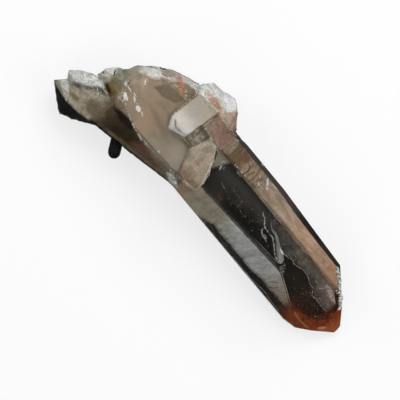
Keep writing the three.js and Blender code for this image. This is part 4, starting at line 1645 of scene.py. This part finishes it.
class CRYSTAL_OT_iron(bpy.types.Operator):
    """Makes the iron film under the tip's faces"""

    bl_idname = "crystal.iron"
    bl_label = "Iron film"

    def execute(self, context):
        sizes, colours = crystal_settings(context)
        planes = inset(prism_faces(), {key: sizes.film_depth for key in SIDES + ENDS})
        bm = solid_inside(planes, spot(36, -20, 0), spot(TIP_X - 0.4, 20, 30))
        finished(bm, "iron_film", iron_material(colours))
        return {"FINISHED"}


class CRYSTAL_OT_stage(bpy.types.Operator):
    """Makes the pale floor, the soft lamps and the camera that looks down on the crystal"""

    bl_idname = "crystal.stage"
    bl_label = "Floor, lamps and camera"

    def execute(self, context):
        scene = context.scene
        mesh = bpy.data.meshes.new("floor")
        bm = bmesh.new()
        bmesh.ops.create_grid(bm, x_segments=1, y_segments=1, size=FLOOR_SIZE)
        bm.to_mesh(mesh)
        bm.free()
        floor = bpy.data.objects.new("floor", mesh)
        scene.collection.objects.link(floor)
        s = Shader("pale_floor")
        mesh.materials.append(s.finish(s.principled(
            Base_Color=rgba((0.18, 0.18, 0.18)), Roughness=0.9,
            Emission_Color=rgba((1, 1, 1)), Emission_Strength=FLOOR_GLOW,
        )))
        floor.visible_glossy = False

        world = bpy.data.worlds.new("soft_room")
        world.use_nodes = True
        back = world.node_tree.nodes["Background"]
        back.inputs["Color"].default_value = (1, 1, 1, 1)
        back.inputs["Strength"].default_value = WORLD_LIGHT
        scene.world = world
        for turn, tilt, power in LAMPS:
            a, e = math.radians(turn), math.radians(tilt)
            away = Vector((math.cos(a) * math.cos(e), math.sin(a) * math.cos(e), math.sin(e)))
            lamp = bpy.data.lights.new("softbox", "AREA")
            lamp.shape = "SQUARE"
            lamp.size = LAMP_SIZE
            lamp.energy = power
            box = bpy.data.objects.new("softbox", lamp)
            box.location = away * LAMP_DISTANCE
            box.rotation_mode = "QUATERNION"
            box.rotation_quaternion = (-away).to_track_quat("-Z", "Y")
            box.visible_glossy = False
            scene.collection.objects.link(box)

        data = bpy.data.cameras.new("camera")
        data.lens = CAMERA_LENS
        data.sensor_width = CAMERA_SENSOR
        camera = bpy.data.objects.new("camera", data)
        azimuth = math.radians(CAMERA_AZIMUTH)
        right = Vector((math.cos(azimuth), math.sin(azimuth), 0))
        up = Vector((-math.sin(azimuth), math.cos(azimuth), 0))
        distance = VIEW_WIDTH * MM * CAMERA_LENS / CAMERA_SENSOR
        middle = spot(*VIEW_MIDDLE)
        back_axis = Vector((0, 0, 1))
        turn = Matrix((right, up, back_axis)).transposed().to_4x4()
        camera.matrix_world = Matrix.Translation(middle + back_axis * distance) @ turn
        data.clip_end = 20
        scene.collection.objects.link(camera)
        scene.camera = camera
        scene.view_settings.view_transform = "Standard"
        return {"FINISHED"}


class CRYSTAL_PT_panel(bpy.types.Panel):
    """Lists the crystal's settings and the steps that build it"""

    bl_idname = "CRYSTAL_PT_panel"
    bl_label = "Lemurian quartz"
    bl_space_type = "VIEW_3D"
    bl_region_type = "UI"
    bl_category = "Crystal"

    def draw(self, context):
        for group in crystal_settings(context):
            for name in group.__annotations__:
                self.layout.prop(group, name)
        for step in STEPS:
            self.layout.operator(step.bl_idname)


STEPS = (
    CRYSTAL_OT_shell, CRYSTAL_OT_dark_core, CRYSTAL_OT_veils, CRYSTAL_OT_cracks, CRYSTAL_OT_cloud,
    CRYSTAL_OT_grown, CRYSTAL_OT_seams, CRYSTAL_OT_flecks, CRYSTAL_OT_iron, CRYSTAL_OT_stage,
)
CLASSES = (CrystalSizes, CrystalColours, *STEPS, CRYSTAL_PT_panel)


def register():
    for cls in CLASSES:
        bpy.utils.register_class(cls)
    bpy.types.Scene.crystal_sizes = bpy.props.PointerProperty(type=CrystalSizes)
    bpy.types.Scene.crystal_colours = bpy.props.PointerProperty(type=CrystalColours)


def unregister():
    del bpy.types.Scene.crystal_colours
    del bpy.types.Scene.crystal_sizes
    for cls in reversed(CLASSES):
        bpy.utils.unregister_class(cls)


def main():
    register()
    bpy.ops.crystal.shell()
    bpy.ops.crystal.phantom()
    bpy.ops.crystal.veils()
    bpy.ops.crystal.cracks()
    bpy.ops.crystal.cloud()
    bpy.ops.crystal.grown()
    bpy.ops.crystal.seams()
    bpy.ops.crystal.flecks()
    bpy.ops.crystal.iron()
    bpy.ops.crystal.stage()


if __name__ == "__main__":
    main()
